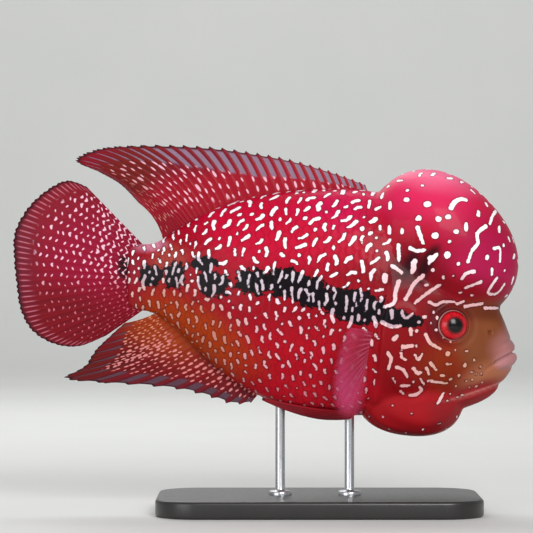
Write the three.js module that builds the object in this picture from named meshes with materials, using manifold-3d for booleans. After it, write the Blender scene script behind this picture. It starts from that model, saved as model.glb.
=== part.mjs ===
// A flowerhorn cichlid, an adult male, as a still life-size museum model on a plain stand.
// Millimetres, +Z up. The fish faces +X and shows its right side to -Y. The stand rests on Z = 0.
// The flesh is modelled whole, from a lofted trunk and a few rounded masses, then parted by thin cuts.

import * as THREE from "three";
import { mergeVertices } from "three/addons/utils/BufferGeometryUtils.js";
import Module from "manifold-3d";

const wasm = await Module();
wasm.setup();

// Clearances and fin thicknesses
const GAP = 0.3; // between neighbouring parts
const HEAD_STEP = 0.8; // how far the head stands proud of the trunk behind the gill opening
const COVER_STEP = 0.7; // how far a gill cover stands proud of the head
const COVER_THICKNESS = 4.0;
const RAY_HALF = 0.85; // half thickness of a fin ray at its root
const RAY_TIP_HALF = 0.36;
const WEB_HALF = 0.42; // half thickness of the membrane between two rays
const WEB_TIP_HALF = 0.26;
const FRINGE = 0.012; // share of its length by which every ray passes the membrane
const ROOT_SINK = 3.0; // how deep a fin is drawn into the flesh before it is trimmed to it

// The trunk with the face, station by station from tail to snout:
// along X, top, bottom, height of the widest line, half width
const TRUNK = [
  [-72.0, 137.0, 107.4, 122.0, 2.8],
  [-65.0, 139.4, 104.8, 122.0, 4.8],
  [-56.0, 140.4, 102.6, 122.0, 7.2],
  [-44.0, 147.8, 93.5, 121.0, 10.6],
  [-26.0, 157.4, 76.0, 116.0, 16.2],
  [-5.0, 164.0, 61.6, 110.0, 21.6],
  [18.0, 167.2, 53.0, 106.0, 25.4],
  [42.0, 167.8, 50.3, 102.0, 27.4],
  [60.0, 165.5, 51.5, 99.0, 28.0],
  [78.0, 157.0, 54.5, 96.5, 27.4],
  [94.0, 143.0, 57.5, 94.0, 25.4],
  [108.0, 125.0, 61.4, 90.0, 21.6],
  [117.5, 111.0, 65.0, 87.0, 17.6],
  [122.6, 101.5, 68.2, 85.0, 14.6],
  [126.0, 92.8, 72.4, 82.6, 11.2],
  [128.4, 86.8, 76.4, 81.4, 7.2],
  [129.4, 81.2, 81.2, 81.2, 0.0],
];
const TRUNK_ROUNDNESS = 2.15; // exponent of the section, 2 is an ellipse
const TRUNK_AROUND = 24;
const TRUNK_ALONG = 30;

// The hump on the forehead, an egg laid slanting from the nape to the brow
const HUMP = { x: 92, z: 138, long: 43.2, short: 33.9, half: 29, slant: -46.6, power: 2.2 };
// The throat membrane, blown out below the jaws, and the smaller fold in front of it
const POUCH = { x: 75.8, z: 61.8, long: 27.2, short: 21.4, half: 18, slant: -6, power: 2.4 };
const POUCH_FOLD = { x: 103, z: 64, long: 19, short: 8.8, half: 12, slant: 18, power: 2.2 };
// A gill cover's outline, seen from the side
const COVER = { x: 72.6, z: 84.5, long: 23.5, short: 12.6, slant: 97 };

// The eyes bulge from the side of the head, under the hump
const EYE = { x: 96.2, z: 97.5, radius: 8.2, depth: 6.0, sunk: 2.0 };
const EYE_RIM = 0.9;
const NOSTRIL = { x: 115.2, z: 93.6, radius: 1.1 };

// The lips, from one corner of the mouth round the snout to its middle, with their thickness
const LIP_UPPER = { corner: [117.8, 14.6, 79.6], side: [123.6, 11.2, 83.0], front: [126.5, 0, 85.9] };
const LIP_LOWER = { corner: [117.6, 14.4, 76.2], side: [124.2, 11.0, 78.4], front: [127.7, 0, 80.2] };
const LIP_HALF = 2.8;
const LIP_CORNER_HALF = 1.2;

// Where the flesh is parted, seen from the side
const CUT_HUMP = [[55.5, 174], [58.5, 163], [62.5, 148], [70, 133], [82, 120], [96, 111.5], [112, 107.4], [138, 106]];
const CUT_GILL = [[58.5, 163], [60.5, 148], [63.5, 128], [63, 112], [59.6, 98], [58.0, 84], [57.4, 70], [54.4, 59], [51.6, 51], [48.5, 42]];
const CUT_POUCH = [[54.4, 59], [64, 57.6], [76, 56.8], [88, 57], [100, 59.6], [112, 63], [123.4, 67.4], [138, 73]];
const CUT_MOUTH = [[138, 84.4], [130, 83.0], [124, 80.8], [117.6, 77.6], [112.5, 74.2], [107.5, 68], [105, 60.9]];
const CUT_TAIL = [[-32, 172], [-34.5, 145], [-35.5, 122], [-34.5, 98], [-32, 70]];

// The tail is carried in a gentle curve to the fish's left
const TAIL_BEND = { from: -15, to: -132, shift: 7 };

// The fins. Each of rayRows is a ray, by where it leaves the body (x, or z for the tail) and where its tip lies.
// Bow is the sideways sag of a ray, wave is how far a fin flutters out of its plane.
const DORSAL = {
  rays: 28, rows: 6, bow: 0.2, bowFront: 0.02, notch: 0.12, wave: 1.4,
  rayRows: [
    [54.5, 52.0, 170.6], [45, 41.0, 175.0], [34, 27.5, 179.6], [20, 11.5, 184.0], [5, -6.0, 187.2],
    [-9, -25.0, 189.8], [-20, -46.0, 191.0], [-29, -68.0, 190.8], [-35.5, -87.0, 189.0],
    [-40.5, -98.8, 183.0], [-44.5, -86.0, 176.6], [-48.5, -75.0, 170.2], [-52.5, -65.5, 160.6],
  ],
};
const ANAL = {
  rays: 17, rows: 6, bow: -0.1, bowFront: -0.02, notch: 0.14, wave: 1.2,
  rayRows: [
    [-2, -7.5, 56.4], [-8, -17.5, 55.8], [-15, -29.5, 59.6], [-22, -44.0, 63.2], [-29, -63.0, 65.4],
    [-35, -85.0, 66.8], [-40, -104.8, 69.2], [-44, -94.5, 75.4], [-48, -88.5, 83.8], [-51.5, -81.5, 90.6],
    [-54.5, -73.0, 98.2],
  ],
};
const CAUDAL = {
  rays: 21, rows: 7, root: -62, wave: 2.4, notch: 0,
  rayRows: [
    [137.6, -93.0, 169.4], [135.4, -103.5, 172.6], [133.0, -114.5, 167.4], [130.2, -124.5, 158.0],
    [126.8, -131.1, 145.4], [123.2, -131.3, 132.0], [119.6, -129.8, 118.0], [116.0, -127.6, 105.0],
    [112.6, -121.4, 94.0], [110.0, -110.0, 87.2], [107.6, -97.0, 86.0], [105.8, -83.0, 91.4],
  ],
};
// A pectoral fin hangs back beside the flank: its root line, and its tips as along X, out from the side, up
const PECTORAL = {
  rays: 11, rows: 6, cup: 3, notch: 0.04,
  top: [56.8, 92.5], foot: [52.0, 77.5],
  tips: [[41.0, 9, 96.5], [36.0, 14, 83.5], [33.5, 17, 66.5], [36.5, 17, 53.0], [48.5, 14, 48.5]],
};
// A pelvic fin is folded back along the belly: along X, out from the middle, up, for both of its edges
const PELVIC = {
  rays: 6, rows: 8, notch: 0.0,
  lower: [[49.5, 8.6, 50.5], [42, 8.0, 48.9], [30, 7.4, 48.8], [19, 6.8, 50.9], [8, 6.2, 54.5], [-1.5, 5.6, 58.6]],
  upper: [[43.5, 12.6, 53.2], [37, 13.4, 53.4], [27, 13.4, 54.2], [17, 12.0, 55.8], [8, 9.4, 57.6], [-0.8, 6.4, 59.4]],
};

// The stand
const BASE = { x: 28, length: 168, width: 92, height: 9, corner: 22, bevel: 1.6 };
const ROD = { radius: 2.5, flange: 6, flangeHeight: 2.2, at: [8, 44] };

// Colours and finishes
const FINISH = {
  red_skin: { color: 0xc81428, roughness: 0.38, metalness: 0 },
  snout_skin: { color: 0x9c5a3c, roughness: 0.4, metalness: 0 },
  throat_skin: { color: 0xb01c24, roughness: 0.36, metalness: 0 },
  fin_red: { color: 0x9a1430, roughness: 0.45, metalness: 0 },
  fin_clear: { color: 0xc04870, roughness: 0.4, metalness: 0 },
  eye: { color: 0xb00c14, roughness: 0.1, metalness: 0 },
  stand_base: { color: 0x1c1b1a, roughness: 0.35, metalness: 0 },
  stand_rod: { color: 0xb8bac0, roughness: 0.28, metalness: 1 },
};

// A smooth curve through rows of numbers, read at t from 0 to 1
function through(rows) {
  const last = rows.length - 1;
  return (t) => {
    const place = t * last;
    const i = Math.min(Math.floor(place), last - 1);
    const f = place - i;
    return rows[0].map((_, k) => {
      const [a, b, c, d] = [i - 1, i, i + 1, i + 2].map((n) => rows[Math.min(Math.max(n, 0), last)][k]);
      const slope = c - a;
      const square = 2 * a - 5 * b + 4 * c - d;
      const cube = 3 * (b - c) + d - a;
      return b + 0.5 * f * (slope + f * (square + f * cube));
    });
  };
}

const trunkAlong = through(TRUNK);

// The trunk's station at a given x
function trunkAt(x) {
  let low = 0;
  let high = 1;
  for (let n = 0; n < 40; n++) {
    const middle = (low + high) / 2;
    if (trunkAlong(middle)[0] < x) low = middle;
    else high = middle;
  }
  const [, top, bottom, widest, half] = trunkAlong(low);
  return { top, bottom, widest, half };
}

// How far the trunk's side is from its middle plane at x, z
function sideAt(x, z) {
  const { top, bottom, widest, half } = trunkAt(x);
  const share = z > widest ? (z - widest) / (top - widest) : (widest - z) / (widest - bottom);
  return half * Math.max(0, 1 - Math.min(share, 1) ** TRUNK_ROUNDNESS) ** (1 / TRUNK_ROUNDNESS);
}

// Sideways shift of the middle plane where the tail is bent
function bendAt(x) {
  const share = Math.max(0, (TAIL_BEND.from - x) / (TAIL_BEND.from - TAIL_BEND.to));
  return TAIL_BEND.shift * share * share;
}

// three.js geometry to a closed solid, faces out
function solid(geometry) {
  geometry.deleteAttribute("normal");
  geometry.deleteAttribute("uv");
  const merged = mergeVertices(geometry, 1e-4);
  const triVerts = new Uint32Array(merged.index.array);
  const vertProperties = new Float32Array(merged.attributes.position.array);
  const made = new wasm.Manifold(new wasm.Mesh({ numProp: 3, vertProperties, triVerts }));
  if (made.volume() > 0) return made;
  for (let i = 0; i < triVerts.length; i += 3) {
    [triVerts[i], triVerts[i + 1]] = [triVerts[i + 1], triVerts[i]];
  }
  return new wasm.Manifold(new wasm.Mesh({ numProp: 3, vertProperties, triVerts }));
}

const largest = (made) => made.decompose().sort((a, b) => b.volume() - a.volume())[0];
const united = (solids) => solids.reduce((all, one) => all.add(one));

// The piece whose box is centred nearest to a point seen from the side
function pieceAt(made, x, z) {
  const away = (piece) => {
    const { min, max } = piece.boundingBox();
    return Math.hypot((min[0] + max[0]) / 2 - x, (min[2] + max[2]) / 2 - z);
  };
  return made.decompose().filter((p) => p.volume() > 1).sort((a, b) => away(a) - away(b))[0];
}

// A geometry with its surface moved out along its normals
function grown(geometry, distance) {
  geometry.deleteAttribute("normal");
  geometry.deleteAttribute("uv");
  const merged = mergeVertices(geometry, 1e-4);
  merged.computeVertexNormals();
  const { position, normal } = merged.attributes;
  const step = pointsOut(merged) ? distance : -distance;
  for (let i = 0; i < position.count; i++) {
    position.setXYZ(
      i,
      position.getX(i) + step * normal.getX(i),
      position.getY(i) + step * normal.getY(i),
      position.getZ(i) + step * normal.getZ(i),
    );
  }
  return merged;
}

// Whether the faces of an indexed geometry wind outwards
function pointsOut(geometry) {
  const { position } = geometry.attributes;
  const corner = [0, 1, 2].map(() => new THREE.Vector3());
  let volume = 0;
  for (let i = 0; i < geometry.index.count; i += 3) {
    corner.forEach((c, k) => c.fromBufferAttribute(position, geometry.index.getX(i + k)));
    volume += corner[0].dot(corner[1].clone().cross(corner[2])) / 6;
  }
  return volume > 0;
}

// A ball-like surface whose point for u round it and v along it comes from place(u, v)
function loft(around, along, place) {
  const geometry = new THREE.SphereGeometry(1, around, along);
  const { position, uv } = geometry.attributes;
  for (let i = 0; i < position.count; i++) {
    const point = place(uv.getX(i), 1 - uv.getY(i));
    position.setXYZ(i, point[0], point[1], point[2]);
  }
  return geometry;
}

function trunkShape() {
  const rings = TRUNK_ALONG - 1;
  return loft(TRUNK_AROUND, TRUNK_ALONG, (u, v) => {
    const ring = v * TRUNK_ALONG - 1;
    const [x, top, bottom, widest, half] = trunkAlong(Math.min(Math.max(ring / rings, 0), 1));
    if (ring < 0) return [x, bendAt(x), widest];
    const angle = u * 2 * Math.PI;
    const round = (value) => Math.sign(value) * Math.abs(value) ** (2 / TRUNK_ROUNDNESS);
    const across = round(Math.cos(angle));
    const up = round(Math.sin(angle));
    return [x, bendAt(x) + half * across, widest + up * (up > 0 ? top - widest : widest - bottom)];
  });
}

// An egg: a rounded mass with its long axis slanting in the side view
function egg({ x, z, long, short, half, slant, power }, around = 26, along = 14) {
  const geometry = new THREE.SphereGeometry(1, around, along);
  const { position } = geometry.attributes;
  const point = new THREE.Vector3();
  const turn = THREE.MathUtils.degToRad(slant);
  for (let i = 0; i < position.count; i++) {
    point.fromBufferAttribute(position, i);
    const size = [point.x, point.y, point.z].reduce((sum, c) => sum + Math.abs(c) ** power, 0) ** (1 / power);
    const a = (point.x / size) * long;
    const b = (point.z / size) * short;
    position.setXYZ(
      i,
      x + a * Math.cos(turn) - b * Math.sin(turn),
      (point.y / size) * half,
      z + a * Math.sin(turn) + b * Math.cos(turn),
    );
  }
  return geometry;
}

// A lip: a tapering bar from one corner of the mouth to the other
function lipShape({ corner, side, front }) {
  const mirrored = ([x, y, z]) => new THREE.Vector3(x, -y, z);
  const path = new THREE.CatmullRomCurve3([
    new THREE.Vector3(...corner), new THREE.Vector3(...side), new THREE.Vector3(...front),
    mirrored(side), mirrored(corner),
  ]);
  const up = new THREE.Vector3(0, 0, 1);
  return loft(8, 16, (u, v) => {
    const middle = path.getPointAt(v);
    const out = path.getTangentAt(v).cross(up).normalize();
    const full = Math.min(1, 6 * Math.min(v, 1 - v));
    const fullness = LIP_CORNER_HALF + (LIP_HALF - LIP_CORNER_HALF) * Math.sin(Math.PI * v);
    const radius = fullness * Math.sqrt(1 - (1 - full) ** 2);
    const angle = u * 2 * Math.PI;
    const spot = middle.addScaledVector(out, radius * Math.cos(angle)).addScaledVector(up, radius * Math.sin(angle));
    return spot.toArray();
  });
}

// A thin cut right through the flesh, along a curve seen from the side
function thinCut(points) {
  const curve = new THREE.CatmullRomCurve3(points.map(([x, z]) => new THREE.Vector3(x, z, 0)));
  const steps = 3 * (points.length - 1);
  const sides = [1, -1].map((side) =>
    Array.from({ length: steps + 1 }, (_, i) => {
      const middle = curve.getPoint(i / steps);
      const tangent = curve.getTangent(i / steps);
      return new THREE.Vector2(middle.x - side * tangent.y * GAP / 2, middle.y + side * tangent.x * GAP / 2);
    }),
  );
  return throughBody(new THREE.Shape([...sides[0], ...sides[1].reverse()]));
}

// A shape drawn in the side view, pushed through the whole body from side to side
function throughBody(shape, from = -100, to = 100) {
  const geometry = new THREE.ExtrudeGeometry(shape, { depth: to - from, bevelEnabled: false, curveSegments: 16 });
  geometry.rotateX(Math.PI / 2);
  geometry.translate(0, to, 0);
  return solid(geometry);
}

function coverOutline(extra) {
  const shape = new THREE.Shape();
  const turn = THREE.MathUtils.degToRad(COVER.slant);
  shape.absellipse(COVER.x, COVER.z, COVER.long + extra, COVER.short + extra, 0, 2 * Math.PI, false, turn);
  return shape;
}

// Unit vector out of the side of the head at x, z, on the side given by 1 or -1
function outOfSide(x, z, side) {
  const step = 0.5;
  const forward = (sideAt(x + step, z) - sideAt(x - step, z)) / (2 * step);
  const upward = (sideAt(x, z + step) - sideAt(x, z - step)) / (2 * step);
  return new THREE.Vector3(-forward, side, -upward).normalize();
}

// A flattened ball for an eye or its socket, lying in the side of the head
function eyeShape(side, extra) {
  const out = outOfSide(EYE.x, EYE.z, side);
  const surface = new THREE.Vector3(EYE.x, side * (sideAt(EYE.x, EYE.z) + HEAD_STEP), EYE.z);
  const geometry = new THREE.SphereGeometry(1, 18, 10);
  geometry.scale(EYE.radius + extra, EYE.depth + extra, EYE.radius + extra);
  geometry.applyQuaternion(new THREE.Quaternion().setFromUnitVectors(new THREE.Vector3(0, 1, 0), out));
  const middle = surface.addScaledVector(out, -EYE.sunk);
  geometry.translate(middle.x, middle.y, middle.z);
  return geometry;
}

function eyeRimShape(side) {
  const out = outOfSide(EYE.x, EYE.z, side);
  const surface = new THREE.Vector3(EYE.x, side * (sideAt(EYE.x, EYE.z) + HEAD_STEP - 0.2), EYE.z);
  const geometry = new THREE.TorusGeometry(EYE.radius + EYE_RIM * 0.4, EYE_RIM, 6, 18);
  geometry.applyQuaternion(new THREE.Quaternion().setFromUnitVectors(new THREE.Vector3(0, 0, 1), out));
  geometry.translate(surface.x, surface.y, surface.z);
  return geometry;
}

function nostrilShape(side) {
  const geometry = new THREE.SphereGeometry(NOSTRIL.radius, 8, 6);
  geometry.translate(NOSTRIL.x, side * (sideAt(NOSTRIL.x, NOSTRIL.z) + HEAD_STEP), NOSTRIL.z);
  return geometry;
}

// The whole front of the fish, before it is parted
const SIDES = [1, -1];
const skull = united([
  solid(grown(trunkShape(), HEAD_STEP)),
  solid(egg(HUMP)),
  solid(egg(POUCH, 22, 12)),
  solid(egg(POUCH_FOLD, 18, 10)),
  solid(lipShape(LIP_UPPER)),
  solid(lipShape(LIP_LOWER)),
  ...SIDES.map((side) => solid(eyeRimShape(side))),
]);
const cuts = united([CUT_HUMP, CUT_GILL, CUT_POUCH, CUT_MOUTH, CUT_TAIL].map(thinCut));
const sockets = united([...SIDES.map((s) => solid(eyeShape(s, GAP))), ...SIDES.map((s) => solid(nostrilShape(s)))]);
const headParts = skull.subtract(cuts).subtract(sockets);
const trunkParts = solid(trunkShape()).subtract(cuts);

// Each gill cover is a curved plate let into the side of the head
const coverOuter = solid(grown(trunkShape(), HEAD_STEP + COVER_STEP));
const coverInner = solid(grown(trunkShape(), HEAD_STEP - COVER_THICKNESS));
const coverBed = solid(grown(trunkShape(), HEAD_STEP - COVER_THICKNESS - GAP));
const coverSpan = { 1: [8, 60], "-1": [-60, -8] };
const coverPlate = (side) =>
  largest(throughBody(coverOutline(0), ...coverSpan[side]).intersect(coverOuter).subtract(coverInner).subtract(cuts));
const coverRecess = united(
  SIDES.map((side) => throughBody(coverOutline(GAP), ...coverSpan[side]).subtract(coverBed)),
);

const head = largest(pieceAt(headParts, 92, 92).subtract(coverRecess));
const hump = pieceAt(headParts, 94, 139);
const jaw = pieceAt(headParts, 118, 72);
const pouch = pieceAt(headParts, 85, 52);
const torso = pieceAt(trunkParts, 14, 108);
const tailStem = pieceAt(trunkParts, -50, 122);

// A closed slab with alike triangles on both faces, for a fin
function slab(columns, rows, spot, half) {
  const grid = new THREE.PlaneGeometry(1, 1, columns, rows);
  const count = grid.attributes.uv.count;
  const points = [];
  for (const face of SIDES) {
    for (let i = 0; i < count; i++) {
      const u = grid.attributes.uv.getX(i);
      const v = 1 - grid.attributes.uv.getY(i);
      const { middle, across } = spot(u, v);
      points.push(...middle.clone().addScaledVector(across, face * half(u, v)).toArray());
    }
  }
  const index = [];
  for (let i = 0; i < grid.index.count; i += 3) {
    const [a, b, c] = [0, 1, 2].map((k) => grid.index.getX(i + k));
    index.push(a, b, c, a + count, c + count, b + count);
  }
  const width = columns + 1;
  const rim = [];
  for (let i = 0; i < columns; i++) rim.push(i);
  for (let j = 0; j < rows; j++) rim.push(j * width + columns);
  for (let i = columns; i > 0; i--) rim.push(rows * width + i);
  for (let j = rows; j > 0; j--) rim.push(j * width);
  rim.forEach((a, n) => {
    const b = rim[(n + 1) % rim.length];
    index.push(a, b, b + count, a, b + count, a + count);
  });
  const geometry = new THREE.BufferGeometry();
  geometry.setAttribute("position", new THREE.Float32BufferAttribute(points, 3));
  geometry.setIndex(index);
  return geometry;
}

// A fin of many rays: crests on the rays, valleys on the membrane, and rays that stand a little past it
function rayedFin({ rays, rows, notch }, ray) {
  const columns = 2 * (rays - 1);
  const onRay = (u) => Math.round(u * columns) % 2 === 0;
  const reach = (u, v) => v * (onRay(u) ? 1 : 1 - FRINGE - notch * (1 - u) ** 2);
  const spot = (u, v) => ray(u, reach(u, v));
  const half = (u, v) =>
    onRay(u) ? RAY_HALF + (RAY_TIP_HALF - RAY_HALF) * v : WEB_HALF + (WEB_TIP_HALF - WEB_HALF) * v;
  return solid(slab(columns, rows, spot, half));
}

// A ray of a middle fin, as an arc from root to tip in the side view, bowed by a share of its length
function middleRay(root, tip, bow, wave, v) {
  const chord = new THREE.Vector2().subVectors(tip, root);
  const belly = new THREE.Vector2(-chord.y, chord.x).multiplyScalar(-bow);
  const pull = new THREE.Vector2().addVectors(root, tip).multiplyScalar(0.5).add(belly);
  const x = (1 - v) ** 2 * root.x + 2 * v * (1 - v) * pull.x + v * v * tip.x;
  const z = (1 - v) ** 2 * root.y + 2 * v * (1 - v) * pull.y + v * v * tip.y;
  return { middle: new THREE.Vector3(x, bendAt(x) + wave * v * v, z), across: new THREE.Vector3(0, 1, 0) };
}

function backOrBellyFin(fin, sign) {
  const along = through(fin.rayRows);
  return rayedFin(fin, (u, v) => {
    const [x, tipX, tipZ] = along(u);
    const { top, bottom } = trunkAt(x);
    const root = new THREE.Vector2(x, sign > 0 ? top - ROOT_SINK : bottom + ROOT_SINK);
    const bow = fin.bowFront + (fin.bow - fin.bowFront) * Math.min(1, 1.6 * u) ** 2;
    return middleRay(root, new THREE.Vector2(tipX, tipZ), bow, fin.wave * Math.sin(5 * u), v);
  });
}

function tailFin() {
  const along = through(CAUDAL.rayRows);
  return rayedFin(CAUDAL, (u, v) => {
    const [z, tipX, tipZ] = along(u);
    const root = new THREE.Vector2(CAUDAL.root, z);
    return middleRay(root, new THREE.Vector2(tipX, tipZ), 0, CAUDAL.wave * Math.sin(7 * u), v);
  });
}

// The surface direction of a fin that isn't in the middle plane
function acrossOf(place, u, v) {
  const step = 0.01;
  const alongU = place(Math.min(u + step, 1), v).sub(place(Math.max(u - step, 0), v));
  const alongV = place(u, Math.min(v + step, 1)).sub(place(u, Math.max(v - step, 0)));
  return alongU.cross(alongV).normalize();
}

function pectoralFin(side) {
  const tips = through(PECTORAL.tips);
  const place = (u, v) => {
    const x = PECTORAL.top[0] + (PECTORAL.foot[0] - PECTORAL.top[0]) * u;
    const z = PECTORAL.top[1] + (PECTORAL.foot[1] - PECTORAL.top[1]) * u;
    const root = new THREE.Vector3(x, sideAt(x, z) - ROOT_SINK, z);
    const [tipX, out, tipZ] = tips(u);
    const tip = new THREE.Vector3(tipX, sideAt(x, z) + out, tipZ);
    const pull = root.clone().lerp(tip, 0.55).add(new THREE.Vector3(2, PECTORAL.cup, 2));
    const spot = root.multiplyScalar((1 - v) ** 2).addScaledVector(pull, 2 * v * (1 - v)).addScaledVector(tip, v * v);
    spot.y *= side;
    return spot;
  };
  return rayedFin(PECTORAL, (u, v) => ({ middle: place(u, v), across: acrossOf(place, u, v) }));
}

function pelvicFin(side) {
  const lower = through(PELVIC.lower);
  const upper = through(PELVIC.upper);
  const place = (u, v) => {
    const low = new THREE.Vector3(...lower(v));
    const high = new THREE.Vector3(...upper(v));
    const spot = low.lerp(high, u);
    spot.z += 2 * ROOT_SINK * Math.max(0, 1 - 7 * v);
    spot.y *= side;
    return spot;
  };
  return rayedFin(PELVIC, (u, v) => ({ middle: place(u, v), across: acrossOf(place, u, v) }));
}

// Every fin is trimmed back to the flesh it grows from
const fleshRoom = united([
  solid(grown(trunkShape(), GAP)),
  solid(egg({ ...HUMP, long: HUMP.long + GAP, short: HUMP.short + GAP, half: HUMP.half + GAP })),
]);
const rooted = (fin) => largest(fin.subtract(fleshRoom));

function baseShape() {
  const { x, length, width, height, corner, bevel } = BASE;
  const [a, b] = [length / 2 - bevel, width / 2 - bevel];
  const r = corner;
  const shape = new THREE.Shape();
  shape.moveTo(-a + r, -b);
  shape.lineTo(a - r, -b);
  shape.absarc(a - r, -b + r, r, -Math.PI / 2, 0);
  shape.absarc(a - r, b - r, r, 0, Math.PI / 2);
  shape.absarc(-a + r, b - r, r, Math.PI / 2, Math.PI);
  shape.absarc(-a + r, -b + r, r, Math.PI, 1.5 * Math.PI);
  const geometry = new THREE.ExtrudeGeometry(shape, {
    depth: height - 2 * bevel, bevelEnabled: true, bevelThickness: bevel, bevelSize: bevel, bevelSegments: 2,
    curveSegments: 5,
  });
  geometry.translate(x, 0, bevel);
  return geometry;
}

// A rod with a flange at its foot, drawn up into the belly and trimmed to it
function rodShape(x) {
  const foot = BASE.height + GAP;
  const top = trunkAt(x).bottom + ROOT_SINK;
  const { radius, flange, flangeHeight } = ROD;
  const profile = [
    [0, foot], [flange, foot], [flange, foot + flangeHeight * 0.6], [flange - 1, foot + flangeHeight],
    [radius + 0.6, foot + flangeHeight], [radius, foot + flangeHeight + 0.6], [radius, top], [0, top],
  ];
  const geometry = new THREE.LatheGeometry(profile.map(([r, z]) => new THREE.Vector2(r, z)), 20);
  geometry.rotateX(Math.PI / 2);
  geometry.translate(x, 0, 0);
  return solid(geometry);
}

const fish = new THREE.Group();

function add(name, made, finish) {
  const { vertProperties, triVerts } = made.getMesh();
  const geometry = new THREE.BufferGeometry();
  geometry.setAttribute("position", new THREE.BufferAttribute(vertProperties, 3));
  geometry.setIndex(new THREE.BufferAttribute(triVerts, 1));
  geometry.computeVertexNormals();
  const mesh = new THREE.Mesh(geometry, new THREE.MeshStandardMaterial(FINISH[finish]));
  mesh.name = name;
  fish.add(mesh);
}

add("nuchal_hump", hump, "red_skin");
add("head", head, "snout_skin");
add("lower_jaw", jaw, "snout_skin");
add("throat_pouch", pouch, "throat_skin");
add("torso", torso, "red_skin");
add("tail_stem", tailStem, "red_skin");
add("dorsal_fin", rooted(backOrBellyFin(DORSAL, 1)), "fin_red");
add("anal_fin", rooted(backOrBellyFin(ANAL, -1)), "fin_red");
add("caudal_fin", rooted(tailFin()), "fin_red");
for (const [word, side] of [["left", 1], ["right", -1]]) {
  add(`gill_cover_${word}`, coverPlate(side), "red_skin");
  add(`eye_${word}`, solid(eyeShape(side, 0)), "eye");
  add(`pectoral_fin_${word}`, rooted(pectoralFin(side)), "fin_clear");
  add(`pelvic_fin_${word}`, rooted(pelvicFin(side)), "fin_red");
}
add("stand_base", solid(baseShape()), "stand_base");
ROD.at.forEach((x, n) => {
  add(`stand_rod_${n === 0 ? "rear" : "front"}`, rooted(rodShape(x)), "stand_rod");
});

export default fish;
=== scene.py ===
# %% [markdown]
# # A flowerhorn cichlid on a display stand
# The flowerhorn is a cichlid bred for the hump on its forehead and for the pearls on its skin.
# This is an adult male, life size, swimming still with all its fins spread.
# Each step below says what a piece is on the fish, how it could be made, and why one way was chosen.

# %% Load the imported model
import math
import random

import bmesh
import bpy
import numpy as np
from mathutils import Matrix, Vector, kdtree, noise
from mathutils.bvhtree import BVHTree


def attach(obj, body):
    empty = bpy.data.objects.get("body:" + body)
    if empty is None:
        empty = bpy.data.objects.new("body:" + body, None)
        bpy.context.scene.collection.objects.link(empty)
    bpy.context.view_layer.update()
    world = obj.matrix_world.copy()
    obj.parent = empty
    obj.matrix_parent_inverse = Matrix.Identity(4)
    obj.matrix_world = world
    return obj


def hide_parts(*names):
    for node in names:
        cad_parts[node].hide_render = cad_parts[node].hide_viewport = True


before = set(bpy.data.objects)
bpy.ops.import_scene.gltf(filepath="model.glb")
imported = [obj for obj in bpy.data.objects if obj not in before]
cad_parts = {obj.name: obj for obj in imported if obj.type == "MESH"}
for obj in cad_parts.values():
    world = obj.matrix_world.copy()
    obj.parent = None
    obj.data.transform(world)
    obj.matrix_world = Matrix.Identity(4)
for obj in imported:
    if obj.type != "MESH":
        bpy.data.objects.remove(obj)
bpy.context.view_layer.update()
MM = 0.001
print("parts in the packed model:", len(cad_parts))

# %% [markdown]
# ## The camera and the light
# A fish in a tank is seen square from its side, so the camera is level and looks along +Y.
# A long lens from far away keeps the near pectoral fin from growing too large.
# It comes first, because some markings are placed as they are seen from here.
# Two soft boxes light the near side, a third the far side, and a fourth the wall behind.

# %% The camera
PICTURE_WIDTH = 277.2
LENS_DISTANCE = 1400
SENSOR_WIDTH = 36
SEEN_FROM = Vector((0.9, -LENS_DISTANCE, 127.6))

camera_data = bpy.data.cameras.new("camera")
camera_data.sensor_width = SENSOR_WIDTH
camera_data.lens = SENSOR_WIDTH * LENS_DISTANCE / PICTURE_WIDTH
camera_data.clip_end = 20
camera = bpy.data.objects.new("camera", camera_data)
camera.location = SEEN_FROM * MM
camera.rotation_euler = (math.radians(90), 0, 0)
bpy.context.scene.collection.objects.link(camera)
bpy.context.scene.camera = camera
print("lens, mm:", round(camera_data.lens, 1))

# %% The soft studio lights
def soft_light(name, place, target, size, watts):
    """A square soft box at a place in metres, turned to its target."""
    data = bpy.data.lights.new(name, "AREA")
    data.size = size
    data.energy = watts
    light = bpy.data.objects.new(name, data)
    light.location = place
    light.rotation_euler = (Vector(target) - Vector(place)).to_track_quat("-Z", "Y").to_euler()
    bpy.context.scene.collection.objects.link(light)


MIDDLE = (0, 0, 0.12)
soft_light("key light", (0.4, -1.15, 0.75), MIDDLE, 0.6, 13)
soft_light("fill light", (-0.9, -1.1, 0.25), MIDDLE, 0.9, 8)
soft_light("back light", (-0.3, 0.8, 0.9), MIDDLE, 0.8, 5)
soft_light("wall light", (0, 1.0, 2.2), (0, 2.9, 0.5), 1.4, 30)

world = bpy.data.worlds.new("studio")
world.use_nodes = True
world.node_tree.nodes["Background"].inputs["Color"].default_value = (1, 1, 1, 1)
world.node_tree.nodes["Background"].inputs["Strength"].default_value = 0.36
bpy.context.scene.world = world
bpy.context.scene.view_settings.view_transform = "Standard"
print("lights:", len(bpy.data.lights))

# %% [markdown]
# ## Curves and sizes
# The body is known as a table: top, bottom, widest line and half width at places along the fish.
# The same table made the solids, so what is modelled here lies in them.
# All sizes are in millimetres, and they become metres only when a mesh is finished.

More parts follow.
